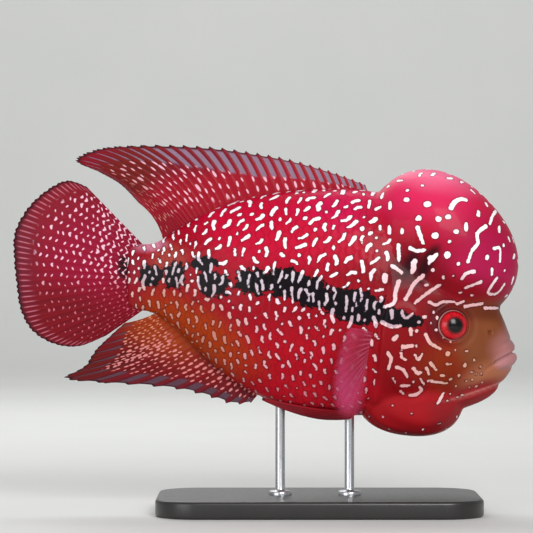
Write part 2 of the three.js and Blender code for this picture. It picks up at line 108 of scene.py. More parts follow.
# %% The table of the trunk
# x, top, bottom, height of the widest line, half width
TRUNK = [
    (-72.0, 137.0, 107.4, 122.0, 2.8),
    (-65.0, 139.4, 104.8, 122.0, 4.8),
    (-56.0, 140.4, 102.6, 122.0, 7.2),
    (-44.0, 147.8, 93.5, 121.0, 10.6),
    (-26.0, 157.4, 76.0, 116.0, 16.2),
    (-5.0, 164.0, 61.6, 110.0, 21.6),
    (18.0, 167.2, 53.0, 106.0, 25.4),
    (42.0, 167.8, 50.3, 102.0, 27.4),
    (60.0, 165.5, 51.5, 99.0, 28.0),
    (78.0, 157.0, 54.5, 96.5, 27.4),
    (94.0, 143.0, 57.5, 94.0, 25.4),
    (108.0, 125.0, 61.4, 90.0, 21.6),
    (117.5, 111.0, 65.0, 87.0, 17.6),
    (122.6, 101.5, 68.2, 85.0, 14.6),
    (126.0, 92.8, 72.4, 82.6, 11.2),
    (128.4, 86.8, 76.4, 81.4, 7.2),
    (129.4, 81.2, 81.2, 81.2, 0.0),
]
ROUNDNESS = 2.15


def along_rows(rows, t):
    """A smooth curve through rows of numbers, read at t from 0 to 1."""
    last = len(rows) - 1
    i = min(int(t * last), last - 1)
    f = t * last - i
    a, b, c, d = (np.array(rows[min(max(n, 0), last)], float) for n in (i - 1, i, i + 1, i + 2))
    return b + 0.5 * f * (c - a + f * (2 * a - 5 * b + 4 * c - d + f * (3 * (b - c) + d - a)))


STATIONS = np.array([along_rows(TRUNK, n / 600) for n in range(601)])


def trunk_at(x):
    """Top, bottom, height of the widest line and half width at x, for one x or many."""
    return [np.interp(x, STATIONS[:, 0], STATIONS[:, k]) for k in (1, 2, 3, 4)]


def bend_at(x):
    """How far the tail is carried to the fish's left at x."""
    return 7 * np.maximum(0, (-15 - x) / 117) ** 2


def side_at(x, z):
    """How far the trunk's side is from its middle plane at x, z."""
    top, bottom, widest, half = trunk_at(x)
    share = (z - widest) / (top - widest) if z > widest else (widest - z) / (widest - bottom)
    return half * max(0, 1 - min(share, 1) ** ROUNDNESS) ** (1 / ROUNDNESS)


def smooth_step(low, high, value):
    """Rises from 0 at low to 1 at high. With low above high it falls."""
    t = np.clip((value - low) / (high - low), 0, 1)
    return t * t * (3 - 2 * t)


print("the trunk is widest, mm:", round(2 * STATIONS[:, 4].max(), 1))

# %% [markdown]
# ## Finished pieces
# Every piece ends the same way: its place is in its mesh, it rides on the body, and it names its finish.
# One helper does this, so that no piece is left at the wrong size.

# %% A helper that finishes a piece
def finish_piece(bm, name, material, replaced=()):
    """Turns millimetres into metres, makes the object and ties it to the frame."""
    bmesh.ops.scale(bm, vec=(MM, MM, MM), verts=bm.verts)
    mesh = bpy.data.meshes.new(name)
    bm.to_mesh(mesh)
    bm.free()
    mesh.shade_smooth()
    mesh.materials.append(material)
    piece = bpy.data.objects.new(name, mesh)
    bpy.context.scene.collection.objects.link(piece)
    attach(piece, "root")
    if replaced:
        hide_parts(*replaced)
    print(name, "has", len(mesh.polygons), "faces")
    return piece


def write_attribute(mesh, name, kind, values):
    """Stores one value for each vertex, which a material then reads by name."""
    attribute = mesh.attributes.new(name, kind, "POINT")
    field = {"FLOAT": "value", "FLOAT_VECTOR": "vector", "FLOAT_COLOR": "color"}[kind]
    attribute.data.foreach_set(field, np.asarray(values, np.float32).ravel())


# %% [markdown]
# ## The flesh
# Trunk, hump, throat pouch and lips are one skin on the fish, with no seam between them.
# They could be sculpted from one block, but each mass is easy to state by itself.
# So each starts as a ball that is drawn to its own shape, and a voxel remesh melts them into one skin.
# The masses leave a sharp trough behind the hump, where the fish has full flesh, so it is smoothed.

# %% The trunk as a drawn-out ball
def squared_off(value):
    """Fills out the sections of the trunk, so that they are a little fuller than ellipses."""
    return math.copysign(abs(value) ** (2 / ROUNDNESS), value)


def add_trunk(bm):
    made = bmesh.ops.create_uvsphere(bm, u_segments=72, v_segments=96, radius=1)
    for vert in made["verts"]:
        t = 1 - math.acos(max(-1, min(1, vert.co.z))) / math.pi
        x, top, bottom, widest, half = along_rows(TRUNK, t)
        if t < 0.001:
            vert.co = (x, bend_at(x), widest)
            continue
        angle = math.atan2(vert.co.y, vert.co.x)
        up = squared_off(math.sin(angle))
        height = top - widest if up > 0 else widest - bottom
        vert.co = (x, bend_at(x) + half * squared_off(math.cos(angle)), widest + up * height)


# %% The hump, the pouch and its front fold
# middle, half sizes, slant in degrees, and a power that is 2 for an ellipsoid and more for a fuller form
EGGS = {
    "hump": dict(x=92, z=138, long=43.2, short=33.9, half=29, slant=-46.6, power=2.2),
    "pouch": dict(x=75.8, z=61.8, long=27.2, short=21.4, half=18, slant=-6, power=2.4),
    "fold": dict(x=103, z=64, long=19, short=8.8, half=12, slant=18, power=2.2),
}


def add_egg(bm, x, z, long, short, half, slant, power):
    made = bmesh.ops.create_icosphere(bm, subdivisions=5, radius=1)
    for vert in made["verts"]:
        size = sum(abs(c) ** power for c in vert.co) ** (1 / power)
        vert.co = (vert.co.x / size * long, vert.co.y / size * half, vert.co.z / size * short)
    turn = Matrix.Rotation(math.radians(-slant), 3, "Y")
    bmesh.ops.rotate(bm, cent=(0, 0, 0), matrix=turn, verts=made["verts"])
    bmesh.ops.translate(bm, vec=(x, 0, z), verts=made["verts"])


# %% The lips
# x, y, z from the left corner of the mouth to the middle of the snout
LIPS = {
    "upper": [(117.8, 14.6, 79.6), (123.6, 11.2, 83.0), (126.5, 0, 85.9)],
    "lower": [(117.6, 14.4, 76.2), (124.2, 11.0, 78.4), (127.7, 0, 80.2)],
}
LIP_CORNER = 1.2
LIP_FULLNESS = 1.6


def add_lip(bm, half_path):
    """A bar from one corner of the mouth round the snout to the other, fullest in the middle."""
    path = half_path + [(x, -y, z) for x, y, z in reversed(half_path[:-1])]
    made = bmesh.ops.create_uvsphere(bm, u_segments=16, v_segments=40, radius=1)
    for vert in made["verts"]:
        t = math.acos(max(-1, min(1, vert.co.z))) / math.pi
        middle = along_rows(path, t)
        ahead = along_rows(path, min(t + 0.01, 1)) - along_rows(path, max(t - 0.01, 0))
        out = Vector((-ahead[1], ahead[0], 0)).normalized()
        full = min(1, 6 * min(t, 1 - t))
        radius = (LIP_CORNER + LIP_FULLNESS * math.sin(math.pi * t)) * math.sqrt(1 - (1 - full) ** 2)
        angle = math.atan2(vert.co.y, vert.co.x)
        vert.co = Vector(middle) + radius * (math.cos(angle) * out + math.sin(angle) * Vector((0, 0, 1)))


# %% Melt the masses into one skin
VOXEL = 1.05


def melted(bm):
    """The outer surface of overlapping closed masses, as one even mesh in millimetres."""
    mesh = bpy.data.meshes.new("masses")
    bm.to_mesh(mesh)
    bm.free()
    masses = bpy.data.objects.new("masses", mesh)
    bpy.context.scene.collection.objects.link(masses)
    remesh = masses.modifiers.new("melt", "REMESH")
    remesh.mode = "VOXEL"
    remesh.voxel_size = VOXEL
    seen = masses.evaluated_get(bpy.context.evaluated_depsgraph_get())
    bm = bmesh.new()
    bm.from_mesh(seen.to_mesh())
    bpy.data.objects.remove(masses)
    return bm


def soften(bm, verts, rounds):
    """Moves each vertex halfway to the middle of its neighbours, round after round."""
    for _ in range(rounds):
        bmesh.ops.smooth_vert(
            bm, verts=verts, factor=0.5, use_axis_x=True, use_axis_y=True, use_axis_z=True
        )


masses = bmesh.new()
add_trunk(masses)
for egg in EGGS.values():
    add_egg(masses, **egg)
for lip in LIPS.values():
    add_lip(masses, lip)
bmesh.ops.recalc_face_normals(masses, faces=masses.faces)
skin = melted(masses)
soften(skin, skin.verts, 4)
print("skin faces after the melt:", len(skin.faces))

# %% Soften the trough behind the hump
TROUGH = dict(x=71, z=121, long=15, high=17)


def in_trough(spot):
    along = (spot.x - TROUGH["x"]) / TROUGH["long"]
    upward = (spot.z - TROUGH["z"]) / TROUGH["high"]
    return math.hypot(along, upward) < 1


trough = [vert for vert in skin.verts if in_trough(vert.co)]
soften(skin, trough, 50)
print("vertices smoothed in the trough:", len(trough))

# %% [markdown]
# ## The eyes' places
# Each eye looks out of the side of the head, square to the skin there.
# The socket, the ring of skin round it and the eyeball all use this one place and direction.
# The head's skin stands a little over the trunk's, up to the gill opening.

# %% Where each eye sits
EYE = dict(x=96.2, z=97.5, radius=8.2, depth=6.0, sunk=2.0)
SIDES = {"left": 1, "right": -1}
HEAD_RISE = 0.8


def out_of_side(x, z, side):
    """The direction straight out of the side of the head."""
    forward = side_at(x + 0.5, z) - side_at(x - 0.5, z)
    upward = side_at(x, z + 0.5) - side_at(x, z - 0.5)
    return Vector((-forward, side, -upward)).normalized()


def eye_place(side):
    """The spot on the skin over the eye's middle, and the direction it looks."""
    out = out_of_side(EYE["x"], EYE["z"], side)
    spot = Vector((EYE["x"], side * (side_at(EYE["x"], EYE["z"]) + HEAD_RISE), EYE["z"]))
    return spot, out


# %% [markdown]
# ## Finer mesh where the face needs it
# Mouth, nostrils and the rings round the eyes are about a millimetre wide, finer than the voxels.
# A finer voxel all over would make the skin far too heavy, so only these places are subdivided.

# %% Subdivide round the mouth and the eyes
def needs_detail(spot):
    near_mouth = spot.x > 114 and 72 < spot.z < 98
    near_eye = abs(spot.x - EYE["x"]) < 12 and abs(spot.z - EYE["z"]) < 12 and abs(spot.y) > 12
    return near_mouth or near_eye


fine = {face for face in skin.faces if needs_detail(face.calc_center_median())}
edges = [edge for edge in skin.edges if all(face in fine for face in edge.link_faces)]
bmesh.ops.subdivide_edges(skin, edges=edges, cuts=1, use_grid_fill=True)
bmesh.ops.triangulate(skin, faces=[face for face in skin.faces if len(face.verts) > 4])
skin.normal_update()
print("skin faces with the face made finer:", len(skin.faces))

# %% [markdown]
# ## Relief carved into the skin
# Gill openings, the line of the mouth, lips, nostrils and scales are small steps and grooves.
# They could be cut with booleans, but living skin has soft edges.
# So every vertex is moved along its own normal by the sum of a few smooth profiles.

# %% Read the skin as arrays
def read_skin(bm):
    """Places in millimetres and outward directions of all vertices."""
    places = np.array([vert.co for vert in bm.verts])
    outward = np.array([vert.normal for vert in bm.verts])
    return places, outward


def distance_to_path(x, z, path):
    """Distance in the side view from points to a path, and how far along it the nearest place is."""
    nearest = np.full(len(x), 1e9)
    where = np.zeros(len(x))
    for n, ((ax, az), (bx, bz)) in enumerate(zip(path, path[1:])):
        dx, dz = bx - ax, bz - az
        t = np.clip(((x - ax) * dx + (z - az) * dz) / (dx * dx + dz * dz), 0, 1)
        gap = np.hypot(x - ax - t * dx, z - az - t * dz)
        closer = gap < nearest
        nearest = np.where(closer, gap, nearest)
        where = np.where(closer, (n + t) / (len(path) - 1), where)
    return nearest, where


def bell(distance, width):
    """1 at no distance, falling to nothing past about twice the width."""
    return np.exp(-((distance / width) ** 2))


places, outward = read_skin(skin)
X, Y, Z = places.T
print("skin vertices:", len(X))

# %% The gill opening and the gill cover
GILL = [
    (48.5, 42), (51.6, 51), (54.4, 59), (57.4, 70), (58.0, 84), (59.6, 98), (63.0, 112), (63.5, 128),
    (60.5, 148),
]
HUMP_EDGE = [
    (55.5, 174), (58.5, 163), (62.5, 148), (70, 133), (82, 120), (96, 111.5), (112, 107.4), (138, 106),
]
COVER = dict(centre_x=72.6, centre_z=84.5, long=23.5, short=12.6, slant=97)


def turned_ring(x, z, centre_x, centre_z, long, short, slant):
    """1 on the edge of a turned ellipse in the side view, less inside it and more outside."""
    turn = math.radians(slant)
    along = (x - centre_x) * math.cos(turn) + (z - centre_z) * math.sin(turn)
    across = -(x - centre_x) * math.sin(turn) + (z - centre_z) * math.cos(turn)
    return np.hypot(along / long, across / short)


gill_x = np.interp(Z, [z for _, z in GILL], [x for x, _ in GILL])
ahead = X - gill_x
hump_z = np.interp(X, [x for x, _ in HUMP_EDGE], [z for _, z in HUMP_EDGE])
on_hump = smooth_step(-1, 1, Z - hump_z) * (X > 55.5)
open_gill = smooth_step(50, 58, Z) * smooth_step(122, 108, Z)
relief = HEAD_RISE * smooth_step(-0.7, 0.7, ahead) * (1 - on_hump) * smooth_step(135, 112, Z)
relief += open_gill * (0.5 * bell(ahead - 2.2, 2.2) - 0.9 * bell(ahead + 0.9, 0.8))
cover = turned_ring(X, Z, **COVER)
front_edge = smooth_step(-2, 4, X - COVER["centre_x"]) * smooth_step(108, 100, Z)
relief += 0.45 * smooth_step(1.12, 0.92, cover) - 0.5 * front_edge * bell(cover - 1.08, 0.05)

# %% The line of the mouth, the lips and the nostrils
MOUTH = [(133, 83.9), (128, 83.0), (123.9, 81.2), (119.6, 78.9), (116.8, 77.0)]
LIP_CREASE = [(131, 90.0), (126.6, 89.6), (122.4, 87.4), (118.6, 84.0)]
JAW_CREASE = [(116.8, 77.0), (113.2, 74.6), (109.8, 71.2), (107.5, 68)]
CHIN_CREASE = [(130, 76.6), (125, 75.4), (120.5, 73.2)]
JAW_EDGE = [(84, 56.0), (94, 57.7), (104, 60.8), (114, 64.2), (126, 68.8)]
NOSTRIL = (115.2, 93.6)

# path, depth, width, and the share of the path from which the groove fades
GROOVES = [
    (MOUTH, 1.7, 0.7, 0.85),
    (LIP_CREASE, 0.5, 1.0, 0.6),
    (JAW_CREASE, 0.5, 1.0, 0.4),
    (CHIN_CREASE, 0.5, 1.1, 0.6),
]
for path, depth, width, fade in GROOVES:
    gap, where = distance_to_path(X, Z, path)
    relief -= depth * bell(gap, width) * smooth_step(1.02, fade, where) * (X > 105)
from_jaw_edge, where = distance_to_path(X, Z, JAW_EDGE)
relief -= 0.45 * bell(from_jaw_edge, 0.8) * smooth_step(0, 0.15, where) * (X > 84)
from_nostril = np.hypot(X - NOSTRIL[0], Z - NOSTRIL[1])
relief += 0.45 * bell(from_nostril - 1.6, 0.6) - 1.6 * bell(from_nostril, 0.85)

# %% The sockets and the rings of skin round the eyes
RING = dict(radius=8.9, width=0.95, rise=0.85)
OUTER_CREASE = dict(radius=11.6, width=1.4, depth=0.45)
SOCKET_DEPTH = 3.4
for side in SIDES.values():
    spot, out = eye_place(side)
    offset = places - np.array(spot)
    height = offset @ np.array(out)
    from_axis = np.linalg.norm(offset - np.outer(height, np.array(out)), axis=1)
    near = (np.abs(height) < 9) & (np.sign(Y) == side) & (from_axis < 20)
    brow = 1 + 0.5 * np.clip(offset[:, 2] / 8, -1, 1)
    ring = RING["rise"] * brow * bell(from_axis - RING["radius"], RING["width"])
    crease = OUTER_CREASE["depth"] * bell(from_axis - OUTER_CREASE["radius"], OUTER_CREASE["width"])
    socket = SOCKET_DEPTH * smooth_step(8.0, 7.1, from_axis)
    relief += near * (ring - crease - socket)

# %% The bars under the throat membrane
BAR_SPACING = 6.2
BAR_RISE = 0.22
jaw_height = np.interp(X, [54.4, 76, 100, 123.4], [59, 56.8, 59.6, 67.4])
below_jaw = smooth_step(1.5, -1.5, Z - jaw_height) * (X > 50)
bars = np.cos(2 * math.pi * (np.abs(Y) / BAR_SPACING + 0.02 * X))
relief += BAR_RISE * below_jaw * bars * smooth_step(40, 46, Z)
print("relief from", round(relief.min(), 2), "to", round(relief.max(), 2), "mm")

# %% [markdown]
# ## Scales
# A cichlid's scales lie in slanting rows and overlap towards the tail, each with a rounded rear edge.
# Loose plates would need thousands of faces for a relief of a fifth of a millimetre.
# So the rows are measured along and around the body, and each scale rises and drops as a small wedge.

# %% Measure along and around the body
ROW_ALONG = 7.4
ROW_AROUND = 7.0
SCALE_RISE = 0.2


def scale_size(x):
    """The size of the scales along the body, as a share of the largest."""
    return np.interp(x, [-72, -20, 30, 100], [0.62, 0.85, 1.0, 0.85])


def measured_round(x, z):
    """Length over the skin from the widest line, up or down."""
    top, bottom, widest, half = trunk_at(x)
    up = z - widest
    height = np.where(up > 0, top - widest, widest - bottom)
    share = np.clip(np.abs(up) / np.maximum(height, 1), 0, 1)
    angle = np.arcsin(np.clip(share ** (ROUNDNESS / 2), 0, 1))
    length = np.zeros(len(x))
    before = (half, np.zeros(len(x)))
    for n in range(1, 17):
        a = angle * n / 16
        here = (half * np.cos(a) ** (2 / ROUNDNESS), height * np.sin(a) ** (2 / ROUNDNESS))
        length += np.hypot(here[0] - before[0], here[1] - before[1])
        before = here
    return length * np.sign(up)


steps = np.linspace(-80, 140, 441)
stride = steps[1] - steps[0]
rows_along = np.concatenate([[0], np.cumsum(stride / (ROW_ALONG * scale_size(steps)))[:-1]])
lie_along = -np.interp(X, steps, rows_along)
lie_around = measured_round(X, Z) / (ROW_AROUND * scale_size(X))
scaled = smooth_step(0.5, -1.5, ahead) * smooth_step(-71, -64, X)
cheek_scales = smooth_step(1.3, 0.8, cover) * smooth_step(56, 62, Z)
scaled = np.maximum(scaled, 0.5 * cheek_scales)


def scale_height(along, around):
    """0 at the front of a scale, 1 at its rounded rear edge."""
    first = np.mod(along + around, 1)
    second = np.mod(along - around, 1)
    return np.mod((first**3 + second**3) ** (1 / 3), 1)


relief += SCALE_RISE * scaled * scale_height(lie_along, lie_around)
print("scales are about", round(ROW_ALONG * 0.85, 1), "mm long on the flank")

# %% Move the skin by its relief
new_places = places + outward * relief[:, None]
for vert, place in zip(skin.verts, new_places):
    vert.co = place
skin.normal_update()
places, outward = read_skin(skin)
X, Y, Z = places.T
skin_tree = BVHTree.FromBMesh(skin)

# %% [markdown]
# ## The ground colours
# Red deepens from a pink hump to a dark belly, and the face turns to tan. Some patches are painted light and
# shade: a lighter hump top, a darker hump edge, and shade round the eyes, along the brow and under the jaw.
# An airbrush on a cast would lay this down in soft patches, so the script does the same:
# each wash is a named patch with a place, a size and a soft edge, and later ones lie over earlier ones.
# The tones were adjusted by comparing average colours of named regions in the photo and in the render.

# %% Washes of colour
def paint(red, green, blue):
    """A colour on the usual 0 to 255 scale, as linear light."""
    shares = np.array([red, green, blue]) / 255
    return np.where(shares <= 10 / 255, shares / 12.92, ((shares + 0.055) / 1.055) ** 2.4)


GROUND = paint(148, 2, 24)
# name, colour, centre x z, half sizes, slant, softness, strength
WASHES = [
    ("bright back", paint(190, 6, 50), (10, 150), (62, 22), 0, 0.5, 0.9),
    ("pink nape", paint(193, 12, 74), (48, 160), (26, 13), 0, 0.6, 0.8),
    ("lower flank", paint(168, 4, 26), (14, 76), (60, 20), 0, 0.5, 0.9),
    ("belly", paint(190, 24, 40), (10, 50), (70, 17), 0, 0.5, 0.9),
    ("rear flank", paint(142, 6, 22), (-45, 120), (22, 30), 0, 0.5, 0.7),
    ("orange rear", paint(156, 50, 4), (-40, 93), (36, 15), -28, 0.5, 1.0),
    ("orange peduncle", paint(156, 60, 48), (-50, 132), (9, 7), 0, 0.6, 0.8),
    ("pale peduncle top", paint(196, 122, 146), (-60, 138.5), (9, 3.2), 4, 0.5, 0.9),
    ("crimson tail root", paint(134, 6, 34), (-70, 122), (8, 18), 0, 0.8, 0.8),
    ("hump", paint(160, 4, 34), (92, 140), (46, 36), -46, 0.2, 1.0),
    # the hump's own pink, painted lighter towards its top as painted light from above
    ("pink hump top with painted light", paint(208, 38, 86), (80, 171), (34, 19), -16, 0.7, 1.0),
    ("palest crown, painted light", paint(232, 112, 148), (85, 180), (24, 10), -12, 0.8, 0.9),
    ("deep hump front", paint(166, 24, 76), (117, 126), (24, 20), -50, 0.7, 0.85),
    # painted shade: the hump's lower edge and the brow under it are painted darker crimson
    ("crimson brow, painted shade", paint(126, 2, 18), (90, 115), (40, 10), -10, 0.6, 1.0),
    ("maroon shade", paint(92, 2, 16), (76, 126), (14, 11), 0, 0.8, 0.8),
    ("maroon streak 1", paint(64, 0, 12), (67.5, 125), (3.2, 7), -14, 0.7, 0.6),
    ("maroon streak 2", paint(34, 0, 8), (74, 128), (3.4, 8), -24, 0.7, 0.95),
    ("maroon streak 3", paint(34, 0, 8), (81, 126), (3.2, 9), -30, 0.7, 0.95),
    ("maroon streak 4", paint(40, 0, 8), (85, 134), (2.6, 5), -40, 0.7, 0.9),
    ("cheek", paint(126, 8, 14), (72, 80), (16, 24), 0, 0.4, 0.9),
    ("brown cheek", paint(126, 38, 12), (95, 77), (16, 14), 0, 0.6, 1.0),
    ("tan face", paint(122, 66, 38), (116, 90), (17, 19), -20, 0.4, 1.0),
    # painted shade: a dark band over the top of the eye and forward along the brow, under the hump's overhang
    ("painted shade under the brow", paint(92, 40, 20), (108, 104.5), (22, 4.5), -3, 0.7, 0.8),
    ("tan jaw", paint(160, 98, 70), (115, 70), (14, 8), 20, 0.5, 1.0),
    # painted shade: the socket round the eye is painted dark, as the shade that falls in it
    ("painted shade round the eye", paint(74, 18, 22), (91, 100), (9.5, 10), 0, 0.6, 0.85),
    ("pink muzzle", paint(168, 112, 112), (127, 84), (9, 9), 0, 0.7, 0.9),
    ("pink lips", paint(174, 120, 122), (126.5, 79.4), (8, 4.4), 14, 0.4, 0.9),
    ("grey nose", paint(128, 112, 122), (128.5, 94), (3.5, 9), 18, 0.6, 0.6),
    ("throat", paint(160, 22, 30), (76, 50), (34, 12), -2, 0.25, 1.0),
    ("throat fold", paint(140, 30, 36), (108, 60), (18, 7), 22, 0.4, 1.0),
    ("dark throat edge", paint(96, 24, 34), (76, 38), (30, 5), 0, 0.7, 0.6),
]


def mottled(spots, size, seed):
    """Soft noise of about 0 to 1 at places in millimetres."""
    shift = Vector((seed * 17.3, seed * 5.1, seed * 9.7))
    return np.array([0.5 + 0.5 * noise.noise(Vector(spot) / size + shift) for spot in spots])


def lay_washes(base, spots, washes, ragged=0.0):
    """A base colour at places in millimetres, with soft patches laid over it one by one.
    ragged is a small noise that moves the edges of the patches in and out."""
    colours = np.tile(base, (len(spots), 1))
    for _, tone, centre, halves, slant, softness, strength in washes:
        ring = turned_ring(spots[:, 0], spots[:, 2], *centre, *halves, slant)
        share = strength * smooth_step(1 + softness, 1 - softness, ring + 0.5 * softness * ragged)
        colours += (tone - colours) * share[:, None]
    return colours


cloud = mottled(places, 9, 1) - 0.5
ground = lay_washes(GROUND, places, WASHES, cloud) * (1 + 0.16 * cloud)[:, None]
# painted shade: the membrane under the jaw is painted dark red, as the shade below the jaw
shade_under_jaw = (below_jaw * smooth_step(80, 90, X))[:, None]
ground += (paint(140, 26, 32) - ground) * shade_under_jaw
jaw_line = 0.8 * bell(from_jaw_edge - 0.7, 0.6) * (1 - below_jaw) * smooth_step(86, 96, X)
ground += (paint(206, 130, 124) - ground) * jaw_line[:, None]
print("washes:", len(WASHES))

# %% [markdown]
# ## The black blotches
# A broken row of black blotches runs from the gill to the tail.
# Only the middle, the half sizes and the slant of each are stated.
# Its ragged edge is cut by noise in the material, which stays sharp however close one looks.

# %% The row of blotches
# centre x z, half sizes, slant
BLOTCHES = [
    (-73.8, 128.0, 3.0, 6.2, 0),
    (-58.8, 123.2, 7.6, 6.4, -10),
    (-46.2, 123.2, 6.2, 8.0, 0),
    (-31.6, 128.9, 8.6, 4.2, 0),
    (-26.4, 118.8, 9.4, 7.4, -20),
    (-5.6, 119.8, 10.0, 7.6, -4),
    (10.0, 119.4, 12.0, 8.6, -10),
    (24.0, 114.0, 13.0, 9.0, -16),
    (45.9, 107.4, 20.0, 9.6, -12),
    (66.0, 102.0, 9.0, 5.6, -10),
    (75.0, 99.8, 6.0, 3.6, -4),
]


def blackness(spots):
    """Above 0 inside a blotch, up to 1 in its middle."""
    rings = [turned_ring(spots[:, 0], spots[:, 2], *blotch) for blotch in BLOTCHES]
    return 1 - np.min(rings, axis=0)


black = blackness(places)
print("blotches:", len(BLOTCHES))

# %% [markdown]
# ## Pearls
# The white marks are what the breed is known for: round on the hump, bent strokes on the brow and cheek,
# upright dashes on the flank. Each mark is a short path with a width.
# A vertex keeps its distance to the nearest mark, and the material turns that into a crisp edge.

# %% Marks that can be told one by one
# half width, and the path in the side view
BENT_MARKS = [
    (1.0, [(115.1, 148.7), (110.4, 144.5), (110.9, 139.8), (107.8, 135.7), (105.7, 130.0)]),
    (0.9, [(120.3, 156.5), (118.2, 153.4), (117.1, 149.7)]),
    (1.3, [(96.9, 158.0), (98.9, 161.2), (102.1, 162.7), (104.7, 162.2)]),
    (1.1, [(79.4, 147.9), (82.3, 139.8)]),
    (1.0, [(75.5, 137.2), (78.9, 135.7), (83.3, 136.2)]),
    (1.0, [(69.5, 138.8), (69.8, 130.5)]),
    (1.1, [(89.1, 133.6), (85.4, 129.4)]),
    (1.2, [(78.1, 130.5), (76.6, 124.5)]),
    (1.0, [(66.2, 127.9), (68.8, 126.3), (71.4, 124.2)]),
    (1.1, [(82.3, 122.7), (77.6, 118.5), (73.5, 110.7)]),
    (1.1, [(69.8, 120.1), (68.0, 114.1), (67.2, 108.6), (62.0, 106.6)]),
    (0.9, [(90.9, 118.0), (84.4, 113.6), (78.1, 108.6)]),
    (1.0, [(108.8, 125.0), (104.7, 124.0), (102.6, 121.1)]),
    (0.8, [(112.5, 119.6), (104.1, 116.4)]),
    (0.8, [(85.4, 109.2), (89.1, 107.6), (92.7, 109.2), (98.4, 109.2)]),
    (0.7, [(100.0, 108.1), (103.6, 109.4)]),
    (0.9, [(104.1, 106.8), (113.2, 108.3)]),
    (0.8, [(114.3, 106.0), (121.3, 106.0)]),
    (0.8, [(120.8, 121.6), (116.1, 114.1), (120.8, 113.6), (124.7, 118.5)]),
    (0.8, [(119.2, 137.0), (122.3, 137.0), (122.3, 130.0)]),
    (1.0, [(64.0, 82.5), (65.7, 79.5), (64.2, 74.3)]),
    (1.1, [(71.8, 85.7), (77.0, 86.3)]),
    (0.8, [(70.9, 82.7), (71.2, 80.5), (73.2, 79.0)]),
    (0.7, [(78.1, 81.6), (80.2, 79.0), (81.8, 82.1)]),
    (1.0, [(68.6, 75.3), (72.0, 73.8), (74.1, 70.3)]),
    (0.9, [(77.2, 74.9), (79.6, 71.8), (81.3, 72.7)]),
    (0.9, [(86.2, 77.5), (89.1, 73.8)]),
    (0.8, [(83.9, 74.9), (85.6, 71.2)]),
    (0.8, [(85.0, 68.1), (94.8, 66.8)]),
    (1.0, [(83.6, 92.3), (86.2, 87.7), (91.4, 84.7)]),
    (1.2, [(67.1, 89.9), (68.9, 91.5)]),
    (1.0, [(75.8, 95.1), (76.1, 91.7)]),
    (0.8, [(71.4, 104.5), (71.9, 101.9), (74.0, 100.8), (77.1, 103.4)]),
    (1.1, [(66.0, 104.5), (66.2, 100.8)]),
    (1.1, [(60.8, 98.8), (63.6, 97.5), (66.6, 96.2), (70.6, 96.9)]),
    (0.9, [(73.2, 110.7), (75.8, 114.4)]),
    (0.9, [(71.2, 65.5), (75.0, 65.5)]),
    (0.7, [(70.6, 62.9), (72.4, 61.3)]),
    (0.6, [(66.6, 69.7), (67.7, 66.9)]),
    (1.0, [(75.8, 60.5), (79.2, 61.1), (81.6, 63.4), (80.4, 64.9)]),
    (0.6, [(81.0, 69.1), (82.8, 66.3)]),
    (0.8, [(90.1, 56.6), (93.0, 61.8)]),
]
